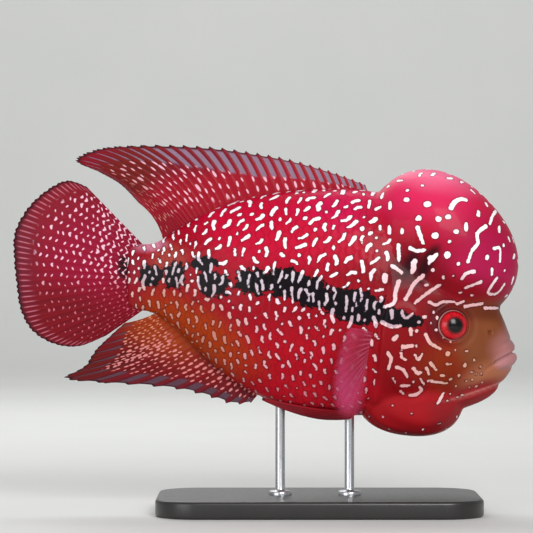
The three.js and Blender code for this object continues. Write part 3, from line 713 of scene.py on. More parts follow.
# x, z, half width, half height
ROUND_MARKS = [
    (74.1, 167.2, 1.0, 0.9), (73.8, 162.4, 1.6, 1.2), (84.5, 160.1, 2.1, 1.6), (81.9, 169.7, 0.9, 0.7),
    (79.9, 152.7, 1.6, 1.4), (90.3, 152.3, 1.6, 1.4), (95.3, 153.4, 1.6, 1.2), (88.5, 143.7, 1.9, 1.7),
    (99.6, 145.7, 1.4, 1.2), (96.0, 140.5, 1.0, 0.9), (65.1, 159.3, 1.0, 2.4), (64.8, 146.6, 1.0, 2.4),
    (71.4, 146.1, 0.9, 1.6), (59.9, 147.8, 0.7, 1.6), (111.1, 155.1, 1.0, 1.9), (104.7, 148.2, 1.0, 2.4),
    (94.9, 133.6, 1.6, 1.9), (86.8, 131.9, 2.1, 1.6), (77.4, 127.9, 1.4, 2.8), (100.7, 128.9, 1.0, 0.9),
    (87.3, 125.6, 1.0, 1.0), (115.7, 132.4, 1.0, 1.4), (122.0, 147.1, 0.9, 2.1), (124.2, 138.6, 0.9, 0.9),
    (118.2, 124.9, 0.7, 2.4), (124.8, 125.5, 0.6, 0.8), (92.9, 121.8, 0.7, 1.0), (98.2, 122.7, 0.6, 0.7),
    (101.7, 114.0, 0.9, 0.6), (107.8, 112.5, 0.9, 0.6), (62.5, 121.5, 1.4, 2.8), (78.8, 94.0, 0.9, 0.9),
    (83.0, 101.4, 1.3, 0.9), (80.2, 98.6, 0.9, 0.9), (79.0, 86.2, 0.9, 0.9), (77.3, 67.5, 0.8, 0.8),
    (95.3, 82.1, 1.5, 1.3), (94.8, 76.9, 1.0, 0.8), (96.8, 76.7, 0.8, 0.6), (104.1, 76.4, 1.1, 1.2),
    (99.2, 84.2, 0.6, 0.6), (105.0, 83.7, 0.8, 0.4), (109.1, 79.0, 0.6, 0.9), (112.1, 75.4, 0.4, 0.8),
    (107.9, 72.8, 0.8, 0.4), (110.1, 71.7, 0.5, 0.5), (112.6, 71.7, 0.5, 0.6), (92.4, 70.9, 1.3, 0.8),
    (96.7, 69.1, 1.0, 0.8), (101.0, 70.7, 0.7, 1.1), (104.7, 68.1, 0.7, 0.6), (107.9, 68.6, 0.5, 0.4),
    (106.5, 65.0, 0.6, 0.6), (110.0, 65.2, 0.8, 0.5), (113.2, 67.3, 0.6, 0.5), (99.4, 65.5, 0.6, 0.5),
    (96.3, 61.3, 0.8, 0.6), (100.1, 59.8, 0.6, 0.5), (102.5, 60.8, 0.8, 0.5), (95.0, 58.0, 0.7, 0.5),
    (89.0, 94.6, 0.9, 0.7), (92.9, 90.7, 0.6, 0.7), (96.7, 88.6, 0.5, 0.5), (87.8, 103.7, 0.6, 0.7),
    (89.5, 101.0, 0.4, 0.8), (86.4, 98.2, 0.6, 0.6), (86.9, 40.2, 0.6, 0.5), (90.8, 46.0, 0.6, 0.5),
    (94.2, 43.2, 0.4, 0.4), (76.4, 51.0, 0.5, 0.5),
]

# %% Find the skin behind a point as the camera sees it
def seen_on_skin(x, z):
    """Where the line from the camera through x, 0, z meets the skin, as on the fish's right side."""
    towards = Vector((x, 0, z)) - SEEN_FROM
    hit, _, _, _ = skin_tree.ray_cast(SEEN_FROM, towards.normalized(), 3000)
    return hit


def mark_path(points):
    """Closely spaced places on the skin along a path given in the side view."""
    steps = max(2, 4 * (len(points) - 1))
    hits = [seen_on_skin(*along_rows(points, n / steps)) for n in range(steps + 1)]
    return [hit for hit in hits if hit]


SMALLEST_MARK = 0.6
TAPER = 0.75
marks = []
for half_width, points in BENT_MARKS:
    marks.append((mark_path(points), half_width, TAPER * half_width))
for x, z, wide, high in ROUND_MARKS:
    reach = abs(wide - high)
    ends = [(x - reach, z), (x + reach, z)] if wide > high else [(x, z - reach), (x, z + reach)]
    smaller = max(SMALLEST_MARK, min(wide, high))
    marks.append((mark_path(ends), smaller, smaller))
marks = [mark for mark in marks if len(mark[0]) > 1]
marks += [([Vector((p.x, -p.y, p.z)) for p in path], head, tail) for path, head, tail in marks]
print("marks told one by one, both sides:", len(marks))

# %% Rules for the marks that fill the rest
def band_height(x):
    """The middle of the row of blotches."""
    return np.interp(x, [-74, -46, -26, -5, 18, 46, 72], [126, 124, 121, 119.6, 115.4, 107.6, 100.8])


def mark_rule(x, z, index):
    """Room kept round marks here, their greatest length, half widths and lean. None is bare skin."""
    if on_hump[index] > 0.5:
        return (3.4, 3.4, (0.8, 1.2), (-60, 60)) if abs(outward[index][1]) < 0.5 else None
    if below_jaw[index] > 0.5:
        return (7.0, 0.4, (0.6, 0.7), (0, 0))
    if x > 84 or (ahead[index] > 0 and z < 118 and abs(outward[index][1]) > 0.35):
        return None
    over_band = z - band_height(x)
    if black[index] > 0.1:
        return (1.1, 8.0, (0.6, 0.95), (-20, 25))
    if x < -34:
        return (1.6, 3.6, (0.56, 0.85), (-25, 30))
    if over_band > 17:
        return (2.0, 6.0, (0.7, 1.2), (-10, 70))
    if over_band > 5:
        return (2.1, 4.4, (0.6, 1.0), (-60, 80))
    if over_band > -12:
        return (1.9, 3.0, (0.6, 0.95), (-80, 60))
    if z < 76:
        return (2.6, 2.6, (0.58, 0.75), (-50, 10))
    return (2.0, 3.8, (0.56, 0.9), (-45, 20))


# %% Keep room between marks
class Crowd:
    """Remembers the spots of all marks by small cubes of space, to find what lies near quickly."""

    def __init__(self, cube=6.0):
        self.cube = cube
        self.spots = {}

    def key(self, spot):
        return tuple(math.floor(c / self.cube) for c in spot)

    def add(self, spot, half_width):
        self.spots.setdefault(self.key(spot), []).append((spot, half_width))

    def has_room(self, spot, half_width, room):
        i, j, k = self.key(spot)
        for cell in ((i + a, j + b, k + c) for a in (-1, 0, 1) for b in (-1, 0, 1) for c in (-1, 0, 1)):
            for other, other_half in self.spots.get(cell, ()):
                if (other - spot).length < half_width + other_half + room:
                    return False
        return True


# %% Spread the marks over the skin
THINNEST_TAIL = 0.5
GREATEST_BOW = 0.45


def spread_marks(seed, long_tries=26000, tries=56000):
    """Throws marks at the skin and keeps those that have room, long strokes first, then dots."""
    rng = random.Random(seed)
    crowd = Crowd()
    for path, head, tail in marks:
        for n, spot in enumerate(path):
            crowd.add(spot, head + (tail - head) * n / len(path))
    made = []
    for turn in range(tries):
        index = rng.randrange(len(places))
        rule = mark_rule(places[index][0], places[index][2], index)
        if rule is None:
            continue
        room, longest, widths, leans = rule
        head = rng.uniform(*widths)
        tail = max(THINNEST_TAIL, head * rng.uniform(0.5, 1.0))
        middle = Vector(places[index])
        normal = Vector(outward[index])
        if not crowd.has_room(middle, head, room):
            continue
        back = (Vector((-1, 0, 0)) + normal * normal.x).normalized()
        upright = normal.cross(back)
        upright *= math.copysign(1, upright.z)
        lean = math.radians(rng.uniform(*leans))
        way = upright * math.cos(lean) - back * math.sin(lean)
        half_length = 0.5 * longest * (rng.uniform(0.5, 1) if turn < long_tries else rng.uniform(0, 0.3))
        bow = normal.cross(way) * rng.uniform(-GREATEST_BOW, GREATEST_BOW) * half_length
        path = [middle + way * half_length, middle + bow, middle - way * half_length]
        if all(crowd.has_room(spot, tail, room) for spot in path):
            for spot in path:
                crowd.add(spot, head)
            made.append((path, head, tail))
    return made


marks += spread_marks(7)
print("marks in all:", len(marks))

# %% Keep each vertex's distance to the nearest mark
def distance_to_marks(spots, marks, limit=2.5):
    """Signed distance in millimetres: below 0 inside a mark, and no more than the limit outside."""
    tree = kdtree.KDTree(len(spots))
    for n, spot in enumerate(spots):
        tree.insert(spot, n)
    tree.balance()
    nearest = np.full(len(spots), limit)
    for path, head, tail in marks:
        for n, (a, b) in enumerate(zip(path, path[1:])):
            reach = (b - a).length / 2 + head + limit
            found = np.array([index for _, index, _ in tree.find_range((a + b) / 2, reach)], int)
            if not len(found):
                continue
            step = np.array(b - a)
            offset = spots[found] - np.array(a)
            t = np.clip(offset @ step / max(step @ step, 1e-9), 0, 1)
            half_width = head + (tail - head) * (n + t) / (len(path) - 1)
            gap = np.linalg.norm(offset - t[:, None] * step, axis=1) - half_width
            nearest[found] = np.minimum(nearest[found], gap)
    return nearest


pearl = distance_to_marks(places, marks)
print("share of the skin under marks:", round(float((pearl < 0).mean()), 3))

# %% [markdown]
# ## Tools for materials
# A material is a small tree of nodes. The same few steps come back in each of them:
# read an attribute, do a sum, turn a number into a mask, lay one colour over another.
# A few short helpers keep the trees below readable.

# %% Helpers for node trees
def add_node(tree, kind, inputs, **settings):
    """A node with its settings, and inputs given as values or as sockets to link."""
    node = tree.nodes.new(kind)
    for name, value in settings.items():
        setattr(node, name, value)
    for name, value in inputs.items():
        if isinstance(value, bpy.types.NodeSocket):
            tree.links.new(value, node.inputs[name])
        else:
            node.inputs[name].default_value = value
    return node


def sum_of(tree, operation, a, b=0.0, c=0.0):
    """One step of arithmetic on one, two or three numbers."""
    return add_node(tree, "ShaderNodeMath", {0: a, 1: b, 2: c}, operation=operation).outputs[0]


def product_of(tree, *factors):
    """All factors multiplied, from the first to the last."""
    product = factors[0]
    for factor in factors[1:]:
        product = sum_of(tree, "MULTIPLY", product, factor)
    return product


def vector_sum(tree, operation, a, b):
    return add_node(tree, "ShaderNodeVectorMath", {0: a, 1: b}, operation=operation).outputs[0]


def mask_of(tree, value, low, high):
    """0 at low and 1 at high, with a soft change between."""
    inputs = {"Value": value, "From Min": low, "From Max": high}
    return add_node(tree, "ShaderNodeMapRange", inputs, interpolation_type="SMOOTHSTEP").outputs[0]


def laid_over(tree, share, below, above):
    """One colour over another by a share from 0 to 1."""
    node = add_node(tree, "ShaderNodeMix", {0: share, 6: below, 7: above}, data_type="RGBA")
    return node.outputs[2]


def read_attribute(tree, name, output="Fac"):
    return add_node(tree, "ShaderNodeAttribute", {}, attribute_name=name).outputs[output]


def object_noise(tree, scale, detail=3.0, roughness=0.55):
    """Noise fixed to the object, with scale as features per metre."""
    where = add_node(tree, "ShaderNodeTexCoord", {}).outputs["Object"]
    inputs = {"Vector": where, "Scale": scale, "Detail": detail, "Roughness": roughness}
    return add_node(tree, "ShaderNodeTexNoise", inputs).outputs["Fac"]


def new_material(name, **fixed):
    """A material with plain values set on its shader's own sockets."""
    material = bpy.data.materials.new(name)
    material.use_nodes = True
    shader = material.node_tree.nodes["Principled BSDF"]
    for socket, value in fixed.items():
        shader.inputs[socket.replace("_", " ")].default_value = value
    return material, material.node_tree, shader


def colour(values):
    """Red, green and blue as a colour socket takes them, with full strength."""
    return (*[float(v) for v in values], 1.0)


# %% [markdown]
# ## The skin's finish
# Live skin is wet: a clear film over soft, slightly see-through flesh.
# The scales' relief is in the mesh, and a fine bump sharpens their rear edges.
# The pearls shine a little more than the red, as the guanine in them reflects light.

# %% A node group that draws rows of scales
def scale_rows_group():
    """Height of the scales from the position along and around the body."""
    group = bpy.data.node_groups.new("rows of scales", "ShaderNodeTree")
    group.interface.new_socket("Lie", in_out="INPUT", socket_type="NodeSocketVector")
    group.interface.new_socket("Height", in_out="OUTPUT", socket_type="NodeSocketFloat")
    given = group.nodes.new("NodeGroupInput")
    taken = group.nodes.new("NodeGroupOutput")
    parts = add_node(group, "ShaderNodeSeparateXYZ", {0: given.outputs["Lie"]})
    cubes = []
    for operation in ("ADD", "SUBTRACT"):
        slanted = sum_of(group, operation, parts.outputs[0], parts.outputs[1])
        cubes.append(sum_of(group, "POWER", sum_of(group, "FRACT", slanted), 3.0))
    rounded = sum_of(group, "POWER", sum_of(group, "ADD", *cubes), 1 / 3)
    group.links.new(sum_of(group, "FRACT", rounded), taken.inputs["Height"])
    return group


scale_rows = scale_rows_group()
print("node group made:", scale_rows.name)


# %% The skin material
def skin_material():
    material, tree, shader = new_material(
        "wet pearled skin", Specular_IOR_Level=0.08, Coat_Weight=0.07, Coat_Roughness=0.1,
        Subsurface_Weight=0.1, Subsurface_Scale=0.002,
    )
    group = add_node(tree, "ShaderNodeGroup", {}, node_tree=scale_rows)
    tree.links.new(read_attribute(tree, "lie", "Vector"), group.inputs["Lie"])
    scaled = read_attribute(tree, "scaled")
    scale_rise = sum_of(tree, "MULTIPLY", group.outputs["Height"], scaled)
    ragged = sum_of(tree, "SUBTRACT", object_noise(tree, 330, 4, 0.6), 0.5)
    black = sum_of(tree, "ADD", read_attribute(tree, "black"), sum_of(tree, "MULTIPLY", ragged, 1.5))
    black_mask = mask_of(tree, black, 0.05, 0.13)
    wobble = sum_of(tree, "SUBTRACT", object_noise(tree, 620, 2, 0.5), 0.5)
    from_pearl = sum_of(tree, "ADD", read_attribute(tree, "pearl"), sum_of(tree, "MULTIPLY", wobble, 1.1))
    pearl_mask = mask_of(tree, from_pearl, 0.16, -0.1)
    rim_mask = sum_of(tree, "MULTIPLY", mask_of(tree, from_pearl, 0.8, 0.15), 0.7)

    edge = sum_of(tree, "MULTIPLY", mask_of(tree, scale_rise, 0.82, 1.0), 0.35)
    red = laid_over(tree, edge, read_attribute(tree, "ground", "Color"), colour(paint(86, 6, 20)))
    rimmed = laid_over(tree, rim_mask, red, colour(paint(72, 4, 18)))
    dark = laid_over(tree, black_mask, rimmed, colour(paint(10, 4, 10)))
    pearls = read_attribute(tree, "pearl colour", "Color")
    lilac = laid_over(tree, sum_of(tree, "MULTIPLY", black_mask, 0.6), pearls, colour(paint(150, 134, 152)))
    tree.links.new(laid_over(tree, pearl_mask, dark, lilac), shader.inputs["Base Color"])

    worn = sum_of(tree, "MULTIPLY_ADD", object_noise(tree, 900, 3), 0.2, 0.34)
    tree.links.new(sum_of(tree, "MULTIPLY_ADD", pearl_mask, -0.08, worn), shader.inputs["Roughness"])
    pores = object_noise(tree, 2200, 2)
    height = sum_of(tree, "MULTIPLY_ADD", scale_rise, 0.7, sum_of(tree, "MULTIPLY", pores, 0.25))
    height = sum_of(tree, "MULTIPLY_ADD", pearl_mask, 0.25, height)
    bump = add_node(tree, "ShaderNodeBump", {"Height": height, "Strength": 0.6, "Distance": 0.00022})
    tree.links.new(bump.outputs["Normal"], shader.inputs["Normal"])
    return material


# %% Finish the skin
PEARL_WHITE = paint(250, 236, 242)
PEARL_WASHES = [
    ("lower flank", paint(216, 152, 162), (4, 82), (74, 27), 0, 0.6, 0.85),
    ("cheek", paint(222, 166, 160), (76, 80), (18, 24), 0, 0.5, 0.85),
    ("face", paint(202, 146, 118), (108, 78), (22, 24), 0, 0.4, 0.9),
    ("belly", paint(206, 110, 120), (10, 54), (70, 16), 0, 0.5, 0.8),
    ("rear", paint(190, 120, 96), (-42, 98), (36, 20), -28, 0.5, 0.9),
    ("brow", paint(200, 140, 142), (92, 114), (36, 12), -12, 0.6, 0.8),
]


def with_alpha(colours):
    """Colours between 0 and 1 with a fourth number, as a colour attribute holds them."""
    return np.column_stack([np.clip(colours, 0, 1), np.ones(len(colours))])


FLESH = [
    "nuchal_hump", "head", "lower_jaw", "throat_pouch", "torso", "tail_stem",
    "gill_cover_left", "gill_cover_right",
]
skin_piece = finish_piece(skin, "skin", skin_material(), FLESH)
write_attribute(skin_piece.data, "ground", "FLOAT_COLOR", with_alpha(ground))
pearl_colours = lay_washes(PEARL_WHITE, places, PEARL_WASHES)
write_attribute(skin_piece.data, "pearl colour", "FLOAT_COLOR", with_alpha(pearl_colours))
write_attribute(skin_piece.data, "black", "FLOAT", black)
write_attribute(skin_piece.data, "pearl", "FLOAT", pearl)
write_attribute(skin_piece.data, "scaled", "FLOAT", scaled)
lie = np.column_stack([lie_along, lie_around, 0 * lie_along])
write_attribute(skin_piece.data, "lie", "FLOAT_VECTOR", lie)

# %% [markdown]
# ## Fins
# A fin is a thin skin stretched over rays. The front rays are stiff spines, the rear ones fork.
# It could be a flat sheet with a thickness, but then its rays would be paint only.
# So two grids, one for each face, are bent to the same surface and drawn apart by half its thickness,
# more on a ray and less between. The rims of both grids are then bridged.

# %% A fin from two bent sheets
COLUMNS_PER_GAP = 8
# shares of a gap between rays: a ray's own width, and how far the branches of a forked ray part
CREST_WIDTH = 0.15
FORK = 0.2
# share of a ray's length: the dip of the margin between rays
SCALLOP = 0.012
SMALL_STEP = 0.01


def crest_at(number, share, soft):
    """1 on a ray and 0 between rays. A soft ray forks into two towards its tip."""
    phase = number - round(number)
    fork = FORK * float(smooth_step(0.4, 0.95, share)) * soft
    near = min(abs(phase - fork), abs(phase + fork))
    return math.exp(-((near / CREST_WIDTH) ** 2))


def bend_fin(name, rays, rows, notch, softness, ray, thickness, material, replaced, washes):
    """ray(u, share) gives the middle of the fin and the direction across it.
    softness(u) is 0 for a spine and 1 for a forked ray.
    thickness holds four half thicknesses: web at root and tip, ray at root and tip.
    notch is how much deeper the margin is cut between the first rays than between the last."""
    bm = bmesh.new()
    crest_layer = bm.verts.layers.float.new("crest")
    gap_layer = bm.verts.layers.float.new("gap")
    rows_layer = bm.verts.layers.float_vector.new("rows")
    web_root, web_tip, ray_root, ray_tip = thickness
    for face in (1, -1):
        columns = COLUMNS_PER_GAP * (rays - 1)
        made = bmesh.ops.create_grid(bm, x_segments=columns, y_segments=rows, size=1)
        for vert in made["verts"]:
            u = (vert.co.x + 1) / 2
            share = (vert.co.y + 1) / 2
            number = u * (rays - 1)
            crest = crest_at(number, share, softness(u))
            tip_crest = crest_at(number, 1, softness(u))
            reach = share * (1 - (SCALLOP + notch * (1 - u) ** 2) * (1 - tip_crest))
            middle, across = ray(u, reach)
            root, _ = ray(u, 0)
            web = web_root + (web_tip - web_root) * share
            half = web + crest * (ray_root + (ray_tip - ray_root) * share - web)
            vert.co = middle + across * face * half
            near_u = abs(u - SMALL_STEP)
            near_by, _ = ray(near_u, reach)
            vert[crest_layer] = crest
            vert[gap_layer] = (near_by - middle).length / (abs(u - near_u) * (rays - 1))
            vert[rows_layer] = (number, (middle - root).length, share)
    bmesh.ops.bridge_loops(bm, edges=[edge for edge in bm.edges if edge.is_boundary])
    bmesh.ops.recalc_face_normals(bm, faces=bm.faces)
    spots = np.array([vert.co for vert in bm.verts])
    piece = finish_piece(bm, name, material, replaced)
    base, patches = washes
    colours = lay_washes(base, spots, patches)
    write_attribute(piece.data, "ground", "FLOAT_COLOR", with_alpha(colours))
    return piece


# %% [markdown]
# ## The fins' finish
# Rows of pale dots sit on the membrane between the rays, and the dorsal fin's margin turns clear.
# The dots differ in size on the dorsal, anal and caudal fins, so one node group with named inputs draws them.
# The group measures in rays and millimetres, so the dots follow each fin's own curves.

# %% A node group for rows of dots
def dots_group():
    group = bpy.data.node_groups.new("rows of dots", "ShaderNodeTree")
    group.interface.new_socket("Rows", in_out="INPUT", socket_type="NodeSocketVector")
    for name in ("Gap", "Each gap", "Pitch", "Wide", "Long", "Scatter", "Size"):
        group.interface.new_socket(name, in_out="INPUT", socket_type="NodeSocketFloat")
    group.interface.new_socket("Dots", in_out="OUTPUT", socket_type="NodeSocketFloat")
    given = group.nodes.new("NodeGroupInput").outputs
    taken = group.nodes.new("NodeGroupOutput")
    parts = add_node(group, "ShaderNodeSeparateXYZ", {0: given["Rows"]})
    across = sum_of(group, "MULTIPLY", sum_of(group, "ADD", parts.outputs[0], 0.5), given["Each gap"])
    along = sum_of(group, "DIVIDE", parts.outputs[1], given["Pitch"])
    stagger = sum_of(group, "MULTIPLY", sum_of(group, "PINGPONG", across, 1.0), 0.5)
    staggered = sum_of(group, "ADD", along, stagger)
    cell = add_node(group, "ShaderNodeCombineXYZ", {0: across, 1: staggered}).outputs[0]
    cells = add_node(
        group, "ShaderNodeTexVoronoi", {"Vector": cell, "Scale": 1.0, "Randomness": given["Scatter"]},
        voronoi_dimensions="2D",
    )
    offset = vector_sum(group, "SUBTRACT", cell, cells.outputs["Position"])
    cell_width = sum_of(group, "DIVIDE", given["Gap"], given["Each gap"])
    wide = sum_of(group, "DIVIDE", given["Wide"], cell_width)
    long = sum_of(group, "DIVIDE", given["Long"], given["Pitch"])
    size = add_node(group, "ShaderNodeCombineXYZ", {0: wide, 1: long, 2: 1.0}).outputs[0]
    flat = vector_sum(group, "MULTIPLY", vector_sum(group, "DIVIDE", offset, size), (1, 1, 0))
    length = add_node(group, "ShaderNodeVectorMath", {0: flat}, operation="LENGTH").outputs["Value"]
    chance = add_node(group, "ShaderNodeSeparateXYZ", {0: cells.outputs["Color"]}).outputs[0]
    uneven = sum_of(group, "MULTIPLY", length, sum_of(group, "MULTIPLY_ADD", chance, 0.7, 0.7))
    sized = sum_of(group, "DIVIDE", uneven, given["Size"])
    group.links.new(mask_of(group, sized, 1.15, 0.8), taken.inputs["Dots"])
    return group


rows_of_dots = dots_group()
print("node group made:", rows_of_dots.name)


# %% The masks of a fin
FRONT_RAY = 13.0
REAR_RAY = 27.0


def placed_dots(tree, rows, number, wobble, dots, small_from):
    """Rows of dots in one fin's own sizes, smaller towards its rear."""
    group = add_node(tree, "ShaderNodeGroup", {}, node_tree=rows_of_dots)
    tree.links.new(rows, group.inputs["Rows"])
    tree.links.new(read_attribute(tree, "gap"), group.inputs["Gap"])
    for socket, value in zip(("Each gap", "Pitch", "Wide", "Long", "Scatter"), dots):
        group.inputs[socket].default_value = value
    shrink = sum_of(tree, "MULTIPLY_ADD", mask_of(tree, number, *small_from), -0.4, 1.0)
    size = sum_of(tree, "ADD", shrink, sum_of(tree, "MULTIPLY", wobble, 0.6))
    tree.links.new(size, group.inputs["Size"])
    return group.outputs["Dots"]


def past_window_start(tree, number, spread, at_front, at_rear):
    """Above 0 where the clear windows have begun, which changes from the front rays to the rear ones."""
    slope = {"From Min": FRONT_RAY, "From Max": REAR_RAY, "To Min": at_front, "To Max": at_rear}
    start = add_node(tree, "ShaderNodeMapRange", {"Value": number, **slope}).outputs[0]
    return sum_of(tree, "SUBTRACT", spread, start)


def streaks_mask(tree, number, share, spread, start, strength):
    """Two pale streaks in each gap between rays, near the margin."""
    wave = sum_of(tree, "COSINE", sum_of(tree, "MULTIPLY", number, 4 * math.pi))
    between = mask_of(tree, wave, -0.55, -0.95)
    begun = mask_of(tree, spread, start, start + 0.05)
    before_tip = mask_of(tree, share, 0.985, 0.94)
    return product_of(tree, between, strength, begun, before_tip)


# %% The fin material
def fin_material(name, dots, zone, dot_tones, small_from, window, streaks, edge):
    """dots: how many in each gap between rays, pitch, half width, half length and scatter, in millimetres.
    zone: the shares of a ray where the dots start and end.
    small_from: the first and the last ray of the change to smaller dots.
    window: where it starts on the front rays and on the rear rays, colour, strength, how clear it is.
    streaks: start, colour and strength of the pale streaks near the margin.
    edge: how dark the ends of the rays are."""
    material, tree, shader = new_material(
        name, Specular_IOR_Level=0.12, Coat_Weight=0.05, Coat_Roughness=0.15, Roughness=0.5
    )
    rows = read_attribute(tree, "rows", "Vector")
    parts = add_node(tree, "ShaderNodeSeparateXYZ", {0: rows}).outputs
    number, share = parts[0], parts[2]
    crest = read_attribute(tree, "crest")
    wobble = sum_of(tree, "SUBTRACT", object_noise(tree, 90), 0.5)
    spread = sum_of(tree, "ADD", share, sum_of(tree, "MULTIPLY", wobble, 0.12))

    at_front, at_rear, window_colour, strength, clear = window
    past_start = past_window_start(tree, number, spread, at_front, at_rear)
    margin = product_of(
        tree, mask_of(tree, past_start, 0.0, 0.06), mask_of(tree, share, 0.99, 0.93), strength,
        mask_of(tree, crest, 0.2, 0.02),
    )
    low, high = zone
    within = product_of(
        tree, mask_of(tree, spread, low, low + 0.06), mask_of(tree, spread, high, high - 0.08),
        mask_of(tree, past_start, 0.06, 0.0),
    )
    every_dot = placed_dots(tree, rows, number, wobble, dots, small_from)
    dot_mask = sum_of(tree, "MULTIPLY", every_dot, within)
    streak_start, streak_colour, streak_strength = streaks
    streak = streaks_mask(tree, number, share, spread, streak_start, streak_strength)

    ground = read_attribute(tree, "ground", "Color")
    cloud = sum_of(tree, "MULTIPLY", object_noise(tree, 160), 0.3)
    cloudy = laid_over(tree, cloud, ground, colour(paint(70, 2, 16)))
    rays = laid_over(tree, sum_of(tree, "MULTIPLY", crest, 0.35), cloudy, colour(paint(140, 4, 22)))
    windows = laid_over(tree, margin, rays, colour(window_colour))
    streaked = laid_over(tree, streak, windows, colour(streak_colour))
    tip_mask = sum_of(tree, "MULTIPLY", mask_of(tree, share, 0.95, 0.995), edge)
    tips = laid_over(tree, tip_mask, streaked, colour(paint(34, 10, 20)))
    near_dot, far_dot = dot_tones
    dot_colour = laid_over(tree, mask_of(tree, number, *small_from), colour(near_dot), colour(far_dot))
    tree.links.new(laid_over(tree, dot_mask, tips, dot_colour), shader.inputs["Base Color"])
    tree.links.new(sum_of(tree, "MULTIPLY_ADD", margin, -clear, 1.0), shader.inputs["Alpha"])
    height = sum_of(tree, "MULTIPLY_ADD", object_noise(tree, 1400), 0.4, crest)
    bump = add_node(tree, "ShaderNodeBump", {"Height": height, "Strength": 0.5, "Distance": 0.0002})
    tree.links.new(bump.outputs["Normal"], shader.inputs["Normal"])
    return material


# %% Rays that stand in the middle plane
ROOT_SINK = 3.0
# root x, tip x, tip z, from the front ray to the rear one
DORSAL = [
    (54.5, 52.0, 170.6), (45, 41.0, 175.0), (34, 27.5, 179.6), (20, 11.5, 184.0), (5, -6.0, 187.2),
    (-9, -25.0, 189.8), (-20, -46.0, 191.0), (-29, -68.0, 190.8), (-35.5, -87.0, 189.0),
    (-40.5, -98.8, 183.0), (-44.5, -86.0, 176.6), (-48.5, -75.0, 170.2), (-52.5, -65.5, 160.6),
]
ANAL = [
    (-2, -7.5, 56.4), (-8, -17.5, 55.8), (-15, -29.5, 59.6), (-22, -44.0, 63.2), (-29, -63.0, 65.4),
    (-35, -85.0, 66.8), (-40, -104.8, 69.2), (-44, -94.5, 75.4), (-48, -88.5, 83.8), (-51.5, -81.5, 90.6),
    (-54.5, -73.0, 98.2),
]
# root z, tip x, tip z, from the top ray to the lowest
CAUDAL = [
    (137.6, -93.0, 169.4), (135.4, -103.5, 172.6), (133.0, -114.5, 167.4), (130.2, -124.5, 158.0),
    (126.8, -131.1, 145.4), (123.2, -131.3, 132.0), (119.6, -129.8, 118.0), (116.0, -127.6, 105.0),
    (112.6, -121.4, 94.0), (110.0, -110.0, 87.2), (107.6, -97.0, 86.0), (105.8, -83.0, 91.4),
]


def middle_ray(root, tip, bow, wave, share):
    """A ray as an arc in the side view, which flutters sideways towards its tip."""
    (x0, z0), (x1, z1) = root, tip
    pull_x = (x0 + x1) / 2 + bow * (z1 - z0)
    pull_z = (z0 + z1) / 2 - bow * (x1 - x0)
    rest = 1 - share
    x = rest * rest * x0 + 2 * share * rest * pull_x + share * share * x1
    z = rest * rest * z0 + 2 * share * rest * pull_z + share * share * z1
    return Vector((x, float(bend_at(x)) + wave * share * share, z)), Vector((0, 1, 0))


def back_or_belly_ray(rows, up, bow_front, bow_rear, wave):
    """A rule for the rays of a fin that stands on the back, or hangs from the belly."""
    def ray(u, share):
        x, tip_x, tip_z = along_rows(rows, u)
        top, bottom, _, _ = trunk_at(x)
        root = (x, top - ROOT_SINK if up else bottom + ROOT_SINK)
        bow = bow_front + (bow_rear - bow_front) * min(1, 1.6 * u) ** 2
        return middle_ray(root, (tip_x, tip_z), bow, wave * math.sin(5 * u), share)
    return ray


TAIL_ROOT = -62


def tail_ray(u, share):
    z, tip_x, tip_z = along_rows(CAUDAL, u)
    return middle_ray((TAIL_ROOT, z), (tip_x, tip_z), 0, 2.4 * math.sin(7 * u), share)


# %% [markdown]
# ### Dorsal fin
# The long fin of the back starts as short spines at the nape and ends in long trailing soft rays.
# Its lower part is red like the back, with slanting pale dashes, and its margin is a clear grey violet
# between red rays. The ends of the rays are dark.

# %% Dorsal fin
NO_STREAKS = (2.0, paint(200, 150, 170), 0.0)
dorsal_material = fin_material(
    "dorsal fin", dots=(1, 6.0, 0.62, 1.6, 0.5), zone=(0.12, 0.8),
    dot_tones=(paint(222, 168, 184), paint(176, 108, 100)), small_from=(22, 32),
    window=(0.46, 0.8, paint(136, 104, 132), 0.95, 0.35), streaks=NO_STREAKS, edge=0.85,
)
dorsal_washes = (paint(136, 6, 30), [
    ("bright root", paint(162, 4, 34), (4, 164), (64, 15), 0, 0.5, 0.9),
    ("wine top", paint(104, 10, 30), (-46, 186), (52, 9), 4, 0.6, 0.8),
    ("brown rear", paint(98, 22, 8), (-76, 172), (30, 13), 38, 0.5, 0.9),
])
bend_fin(
    "dorsal_fin_web", 38, 34, 0.12, lambda u: float(smooth_step(0.5, 0.65, u)),
    back_or_belly_ray(DORSAL, True, 0.02, 0.2, 1.4), (0.3, 0.16, 0.7, 0.26),
    dorsal_material, ["dorsal_fin"], dorsal_washes,
)

# %% [markdown]
# ### Anal fin
# The anal fin mirrors the dorsal below the tail stem. It is orange brown at its root,
# with slanting rows of small pale dots, and turns to a dusky purple at its lower margin.

